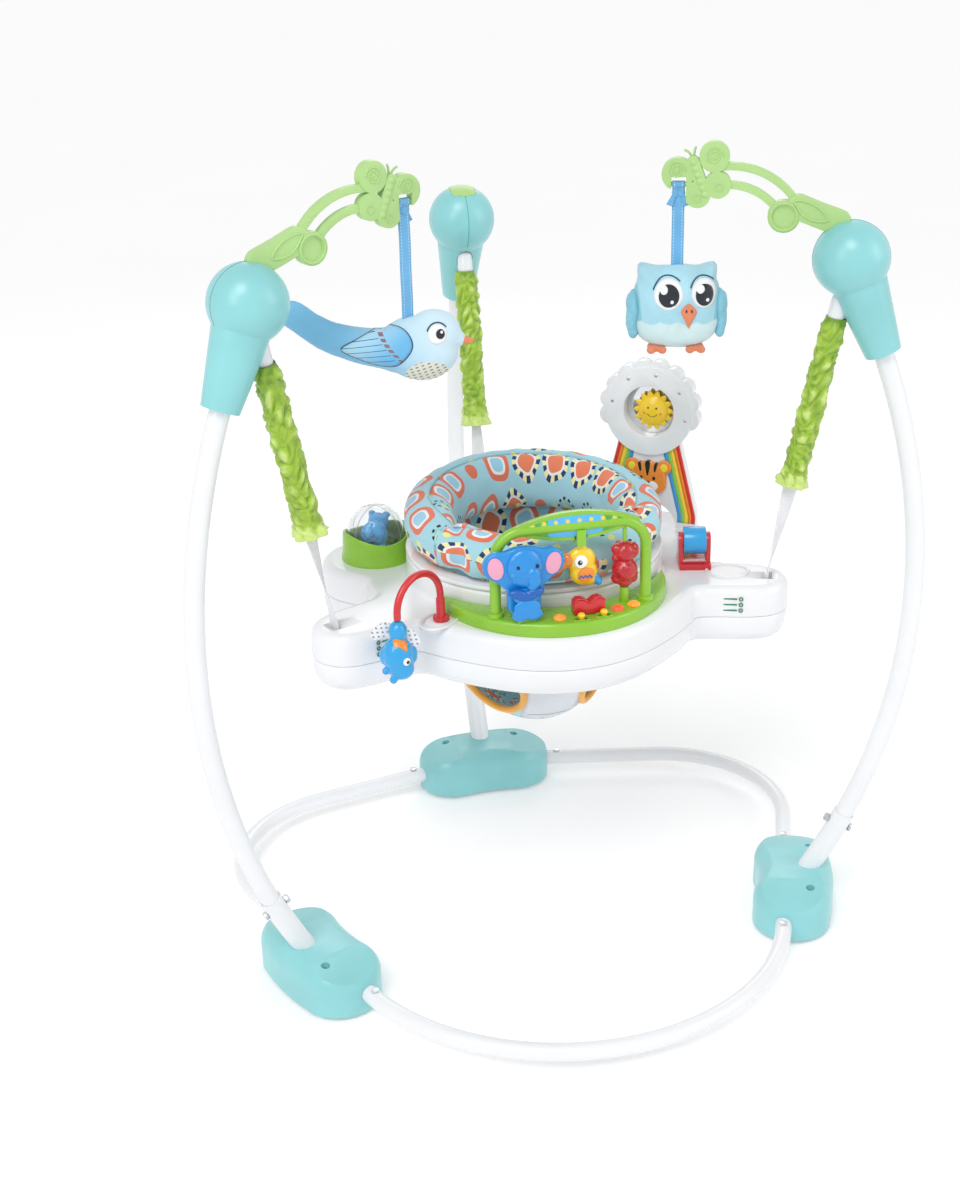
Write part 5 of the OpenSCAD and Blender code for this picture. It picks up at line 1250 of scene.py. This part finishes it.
elephant_part = maker("elephant_", "blue", "elephant_toy", "blue_plastic", at(-56, -172, 466))
shield = spline(mirrored([(0, -6), (12, -4.5), (17.5, 2), (18.5, 13), (20, 24), (29, 33), (41, 42),
                          (44.5, 52), (41, 62), (32, 67.5), (24, 67), (18, 68), (10, 70.5), (0, 71.5)]), 5)
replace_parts(elephant_part(plate, "shield", shield, -4.5, 5.5, 2.6), "elephant")
ELEPHANT_FORMS = {
    "head": ("blue", [((0, -4, 50), (20, 8.5, 20.5)), ((0, -4, 38), (15, 7.5, 12)), ((8, -10, 42), (8, 6, 9)),
                      ((9, -11, 35), (7.5, 5.5, 8)), ((7, -10, 29), (6, 4.5, 5))]),
    "arms": ("deep", [((-9, -10, 22), (11, 5, 5.5), 8), ((9, -10, 22), (11, 5, 5.5), -8),
                      ((0, -11, 18), (12, 5.5, 5))]),
    "lap": ("blue", [((-7, -14, -1), (10, 3, 7.5)), ((7, -14, -1), (10, 3, 7.5)), ((0, -14, 7), (15, 3, 9))]),
    "waist": ("blue", [((0, -9, 17), (14, 6, 8)), ((0, -6, 20), (15, 5, 7)), ((0, -12, 13), (11, 3.5, 5))]),
}
for name, (mat, balls) in ELEPHANT_FORMS.items():
    elephant_part(blob, name, balls, mat=mat, voxel=0.9)
elephant_part(tube, "axle", [(0, y, 0) for y in np.linspace(-9, 9, 5)], 2.4, mat="deep")
for side, tag in SIDES:
    ear = oval(side * 31.5, 51, 8.5, 12.5, 40, side * -12)
    elephant_part(plate, "ear_" + tag, ear, -6.2, -4.0, 1.0, mat="pink")
    x = 2 + side * 10.5
    eye = [((x, -11.4, 52), (1.9, 1.6, 2.2)), ((x, -12.0, 52.4), (1.3, 1.4, 1.5))]
    elephant_part(blob, "eye_" + tag, eye, mat="black", voxel=0.35)
    elephant_part(plate, "cheek_" + tag, oval(side * 14, 43.5, 2.4, 2.4, 24), -10.0, -6.0, 0.6, mat="sky")

parrot_part = maker("parrot_", "yellow", "parrot_toy", "yellow_plastic", at(10, ARCH_Y, 531))
parrot_balls = [((1, 0, -22), (16.5, 8, 15)), ((4, 0, -36), (15.5, 8, 15)), ((10, 0, -44), (9, 6, 8)),
                ((2, 0, -8), (5, 3.4, 5))]
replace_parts(parrot_part(blob, "figure", parrot_balls, voxel=1.0), "parrot")
parrot_part(hoop, "hanger", (0, 0), 3.9, 3.9, 1.3, mat="grey")
beak_balls = [((-13, 0, -21), (9, 6.5, 8.5)), ((-20, 0, -24), (7.5, 5.5, 7.5)),
              ((-24, 0, -30), (4, 4, 6), 20)]
parrot_part(blob, "beak", beak_balls, mat="orange", voxel=0.8)
parrot_part(plate, "eye", oval(-1, -21, 7.2, 7.2), -9.4, -5, 1.0, mat="print_white")
parrot_part(plate, "pupil", oval(-2.5, -21.5, 2.6, 2.8, 28), -10.0, -8, 0.5, mat="black")
parrot_part(plate, "glint", oval(-1.8, -20.6, 0.8, 0.8, 16), -10.3, -9.5, 0.2, mat="print_white")
wing_line = spline([(-3, -33), (4, -29), (13, -32), (12, -40), (3, -44), (-4, -40)], 6)
parrot_part(plate, "wing", wing_line, -9.6, -5, 1.2, mat="orange")
zigzag = [(-4 + 2.4 * i, -10.0, -39.5 + 3.0 * (i % 2)) for i in range(7)]
parrot_part(tube, "wing_mark", zigzag, 0.9, mat="deep", sides=8)
tail_balls = [((16, 0, -44), (5.5, 5, 8), -20), ((20, 0, -48), (4.5, 4, 6), -25)]
parrot_part(blob, "tail", tail_balls, mat="sky", voxel=0.8)

perch_part = maker("perch_", "red", "tray", "red_plastic", at(14, -175.5, PANEL_TOP))
page = [(0, 0), (17, 0), (17.6, 9), (17, 15), (12, 18), (6, 17), (0, 12.5)]
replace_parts(perch_part(plate, "book", mirrored(page), -7.3, 7.3, 1.3), "perch")
page_fold = ((1.5, 13.8), (6, 17.8), (12, 18.8), (16.5, 16))
for side, tag in SIDES:
    fold_line = spline([(side * x, -7.0, z) for x, z in page_fold], 6, closed=False)
    perch_part(tube, "page_" + tag, fold_line, 0.9, sides=8)

lumps = [((0, 0, 14), (12.2, 12.2, 12.6)), ((0, 0, -6), (14.2, 14.2, 14.2)), ((9.5, 0, 18), (5.6, 5.6, 6)),
         ((-9.5, 0, 18), (5.6, 5.6, 6)), ((8.5, 0, -16), (6.6, 6.6, 6.6)), ((-8.5, 0, -16), (6.6, 6.6, 6.6)),
         ((0, 0, -20), (9, 9, 6)), ((0, 0, 4), (9, 9, 8))]
lumps += [((11 * math.cos(2.4 * i), 11 * math.sin(2.4 * i), -12 + 5.2 * i), (4.2, 4.2, 4.6))
          for i in range(7)]
spinner = blob("spinner_lumps", lumps, "ruby", "red_toy", "red_plastic", at(60, ARCH_Y, 499), 0.9, 2)
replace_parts(spinner, "red_spinner")

KNOB = [(0, 7.3), (1.6, 7.1), (3.2, 6.2), (4.2, 4.6), (4.3, 3.4), (3.6, 2.0), (2.6, 1.2), (3.4, 0.8),
        (3.4, 0.4), (0, 0.4)]
TROUGH = [(-9, 0), (-7, 4.6), (7, 4.6), (9, 0), (7, -4.6), (-7, -4.6)]
for kind, x, y in (("volume", 2, -191), ("mode", 28, -188)):
    place = at(x, y, PANEL_TOP)
    knob = lathe(kind + "_switch_ball", KNOB, "yellow", kind + "_knob", "yellow_plastic", place)
    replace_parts(knob, kind + "_switch")
    trough = [(u, v, 0.1) for u, v in spline(TROUGH, 6)]
    tube(kind + "_switch_trough", trough, 0.9, "lime", "tray", "lime_plastic", place, sides=8, closed=True)

ARCH = at(4, ARCH_Y, ARCH_TOP + 1)
arch_art = Mat("arch_print", 0.35, 0.5)
ax, _, az = arch_art.xyz(place=ARCH)
cell_x = ((ax + 80.0) / 13.0).fract() - 0.5
woods = abs(ax) > 30.0
leaves = (abs(cell_x) + abs(az / 15.0 - 0.1) * 0.8) < 0.42
dots = ((cell_x * 13.0) ** 2.0 + (az - 6.0) ** 2.0) < 5.0
sky_tone = arch_art.tone((0.10, 0.48, 0.85), 0.1, 40.0)
colour = arch_art.mix(woods, sky_tone, arch_art.tone((0.10, 0.42, 0.08), 0.3, 90.0))
colour = arch_art.mix(leaves * woods, colour, (0.25, 0.62, 0.12))
arch_art.put("Base Color", arch_art.mix(dots, colour, (0.93, 0.62, 0.10)))
M["arch_print"] = arch_art.bump(arch_art.noise(300), 0.05)
lens_x = np.linspace(-62, 62, 40)
lens_z = np.sqrt(176 ** 2 - lens_x ** 2) - 164.2
lens_line = [*zip(lens_x, lens_z), *zip(lens_x[::-1], -lens_z[::-1])]
for tag, front, rear in (("front", -4.1, -3.0), ("rear", 3.0, 4.1)):
    plate("arch_print_" + tag, lens_line, front, rear, 0.4, "arch_print", "tray", "lime_plastic", ARCH)

# Side toys: figure in the dome, sun and striped face on the tower, roller, tether toy

DOME, DOME_SEAM_R = at(-LOBE[0], LOBE[1], 470, DOME_YAW), 33.9
figure_balls = [
    ((0, 7, 0), (16, 16, 16)), ((0, -11, 8), (12.5, 12.5, 12.5)), ((10, 14, -12), (6, 6, 6)),
    ((-10, 14, -12), (6, 6, 6)), ((9, -15, 17), (4.4, 4.4, 4.4)), ((-9, -15, 17), (4.4, 4.4, 4.4)),
    ((0, -20, -2), (6, 7, 6)), ((0, 24, 6), (4, 5, 4)), ((0, 27, 0), (2.4, 4, 2.4)),
    ((0, -27, 0), (2.4, 4, 2.4))]
figure = blob("dome_figure", figure_balls, "sky", "dome_toy", "blue_plastic", DOME, voxel=0.9, soften=2)
crease(figure, 190, 1.4)
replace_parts(figure, "dome_spinner")

dome_seam = maker("dome_seam_", "grey", "tray", "clear_dome")
for tag, yaw in (("front", -17), ("side", 62)):
    dome_seam(hoop, tag, (0, 0), DOME_SEAM_R, DOME_SEAM_R, 0.45, place=DOME @ turned(yaw))

CUP = [(41.5, 0, 0), (41.5, 4, 0), (40.8, 5, 0), (40.2, 16, 0.3), (39.2, 27, 1), (38.4, 28.2, 1),
       (37.2, 28.2, 1), (35.6, 26.5, 1), (34.8, 20, 0.4), (33, 12, 0)]
cup_wave = [3.2 - 5.0 * math.cos(2 * t + 1.6) for t in circle(72)]
cup_rings = [[(r * math.cos(t), r * math.sin(t), z + swing * wave) for t, wave in zip(circle(72), cup_wave)]
             for r, z, swing in CUP]
cup_place = at(-LOBE[0], LOBE[1], TRAY_TOP, DOME_YAW)
cup = grid("dome_cup", cup_rings, "lime", "tray", "lime_plastic", cup_place, wrap_v=True)
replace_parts(cup, "dome_base")

TOWER = at(LOBE[0], LOBE[1], TRAY_TOP, TOWER_YAW)
STRIPE_W, STRIPE_Y, STRIPE_Z = 4.4, (6.0, 6.7), (12, 118)
for side, tag in ((-1, "a"), (1, "b")):
    for i, colour in enumerate(RAINBOW):
        rows = []
        for z in np.linspace(*STRIPE_Z, 30):
            outer = 59 - 24 * max(0, z - 22) / 98 - STRIPE_W * i
            low, high = STRIPE_Y
            corners = ((outer, low), (outer, high), (outer - STRIPE_W, high), (outer - STRIPE_W, low))
            rows.append([(side * x, y, z) for x, y in corners])
        tray_part(grid, f"rainbow_{colour}_{tag}", rows, mat="stripe_" + colour, place=TOWER, wrap_v=True,
                  caps=(True, True))

OUTWARD = Matrix.Rotation(rad(-90), 4, "X")
MIRROR_Z = 150
SUN = TOWER @ Matrix.Translation((-4, 1, MIRROR_Z)) @ OUTWARD
sun_part = maker("sun_", "yellow", "sun_toy", "yellow_plastic", SUN)
SUN_DISC = [(0, 8.4), (6, 8.0), (11, 7.0), (15, 5.4), (17.6, 3.6), (18.6, 2.0), (18.6, 0.4), (17, 0), (6, 0),
            (6, -5.4), (2.4, -5.4), (2.4, -7.4), (0, -7.4)]
SUN_RAY = [((18, 0, 1.4), (4.2, 4.2, 1.5)), ((21.0, 0, 1.4), (2.9, 3.0, 1.4)),
           ((22.8, 0, 1.4), (1.6, 1.6, 1.1))]
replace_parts(sun_part(lathe, "disc", SUN_DISC), "sun_spinner")
for i, turn in enumerate(circle(14)):
    sun_part(blob, f"ray_{i}", SUN_RAY, place=SUN @ Matrix.Rotation(turn, 4, "Z"), voxel=0.6, soften=2)
for tag, x in (("left", -5), ("right", 5)):
    eye = [((x, -4, 7.6), (1.3, 1.5, 0.9)), ((x, -4, 8.0), (0.9, 1.1, 0.7))]
    sun_part(blob, "eye_" + tag, eye, mat="black", voxel=0.3)
    cheek = [((x * 1.9, 2.5, 6.6), (2.4, 2.4, 0.9)), ((x * 1.9, 2.5, 6.8), (1.6, 1.6, 0.9))]
    sun_part(blob, "cheek_" + tag, cheek, mat="orange", voxel=0.4)
smile = [(x, y, 7.5) for x, y in arc(0, 1.5, 6, 5, np.linspace(0.35, math.pi - 0.35, 20))]
sun_part(tube, "smile", smile, 0.6, mat="black", sides=8)

striped_part = maker("striped_", "orange", "tray", "orange_plastic",
                     TOWER @ Matrix.Translation((0, 6.1, 66)) @ turned(180))
face_line = spline(mirrored([(0, -22), (12, -20), (21, -11), (22.5, 1), (18, 14), (8, 20.5), (0, 22)]), 6)
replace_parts(striped_part(plate, "face", face_line, -5.0, 0, 2.0), "tiger_panel")
for side, tag in SIDES:
    striped_part(plate, "ear_" + tag, oval(side * 20, 15, 9, 9), -4.2, 0, 1.6)
    striped_part(plate, "ear_inner_" + tag, oval(side * 20, 15, 4.6, 5), -4.8, 0, 0.5, mat="stripe_yellow")
    mark = spline([(side * x, z) for x, z in ((9, 20), (12, 18.5), (9.5, 9), (7.6, 12))], 5)
    striped_part(plate, "mark_" + tag, mark, -5.5, 0, 0.3, mat="black")
    striped_part(plate, "eye_" + tag, oval(side * 8, 1, 1.9, 2.4, 24), -5.7, 0, 0.5, mat="black")
    striped_part(plate, "cheek_" + tag, oval(side * 6, -9, 7, 6, 32), -5.6, 0, 0.6, mat="print_white")
mark = spline([(-3, 21), (3, 21), (1.6, 8), (0, 4), (-1.6, 8)], 5)
striped_part(plate, "mark_middle", mark, -5.5, 0, 0.3, mat="black")
nose = spline([(-3.2, -3.5), (3.2, -3.5), (0, -7.4)], 6)
striped_part(plate, "nose", nose, -6.2, 0, 0.5, mat="black")

RING_SCREW, RING_SCREW_R = [(0, 0.9), (1.6, 0.8), (2.2, 0.3), (2.2, -1)], 46
for i, a in enumerate(np.radians((13, 57, 101, 145, 189))):
    spot = (RING_SCREW_R * math.cos(a), 11, MIRROR_Z + RING_SCREW_R * math.sin(a))
    place = TOWER @ Matrix.Translation(spot) @ OUTWARD
    lathe(f"ring_screw_{i}", RING_SCREW, "steel", "tray", "screw_steel", place, 20)

DRUM = at(180.475, -44.998, 470, -14)
drum_art = Mat("drum_print", 0.25, 0.5, Coat_Weight=0.3)
dx, dy, dz = drum_art.xyz(place=DRUM)
sector = (dz.op("ARCTAN2", dy) * (3 / math.pi)).fract() < 0.5
radius = (dy * dy + dz * dz) ** 0.5
end_face = (abs(dx) > 12.6) * radius.between(4.0, 12.5)
colour = drum_art.mix(sector, (0.92, 0.70, 0.05), (0.75, 0.05, 0.05))
drum_art.put("Base Color", drum_art.mix(end_face, drum_art.tone((0.02, 0.36, 0.75), 0.07), colour))
M["drum"] = drum_art.bump(drum_art.noise(300), 0.05)
finish_node("roller_drum", "drum", 1.0)

STALK_END = at(-135.848, -118.091, TRAY_TOP, 216) @ Matrix.Translation((68, 0, 23.7))
TETHER = STALK_END @ turned(134)
tether_part = maker("tether_", "sky", "tether", "blue_plastic", TETHER)
tether = tether_part(blob, "figure", [
    ((0, 0, -13), (10, 10.5, 12.5)), ((-1, 0, -40), (17, 16.5, 21)), ((2, -2, -55), (14, 13, 13)),
    ((-7, -6, -67), (4.5, 4.5, 4.5)), ((-15, -2, -58), (4, 4, 4.5)), ((-16, 3, -42), (5, 8, 10)),
    ((15, 4, -42), (5, 8, 10))], voxel=1.3, soften=5)
inflate(tether, 2.0, 1.0)
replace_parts(tether, "tether_toy")
band_line = spline([(-4, -18), (4, -20), (9, -25), (8, -31), (2, -27), (-5, -25)], 6)
tether_part(patch, "band", tether, band_line, mat="orange", lift=0.7)
tether_part(patch, "eye", tether, oval(8, -43, 3.6, 4.6, 32), mat="print_white", lift=0.5)
tether_part(patch, "pupil", tether, oval(9, -43.5, 1.5, 1.8, 24), mat="black", lift=1.0)

tag_print = Mat("dotted_tag", 0.7, 0.3, Sheen_Weight=0.3)
tx, _, tz = tag_print.xyz(place=TETHER)
cell_x, cell_z = (tx / 5.5 + tz * 0.04).fract() - 0.5, (tz / 5.0 + 0.3).fract() - 0.5
dots = (cell_x * cell_x + cell_z * cell_z) < 0.055
tag_tone = tag_print.tone((0.86, 0.87, 0.89), 0.03, 60.0)
tag_print.put("Base Color", tag_print.mix(dots, tag_tone, (0.30, 0.32, 0.35)))
M["tag"] = tag_print.weave(0.9, 0.3)
for tag, cx, cz, tilt in (("left", -17, -13, 35), ("right", 13, -21, -50)):
    leaf = tether_part(plate, "tag_" + tag, oval(cx, cz, 13, 7.5, 48, tilt), 1.4, 3.4, 0.9, mat="tag")
    crease(leaf, 70, 1.2)

for o, body in riders:
    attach(o, body)
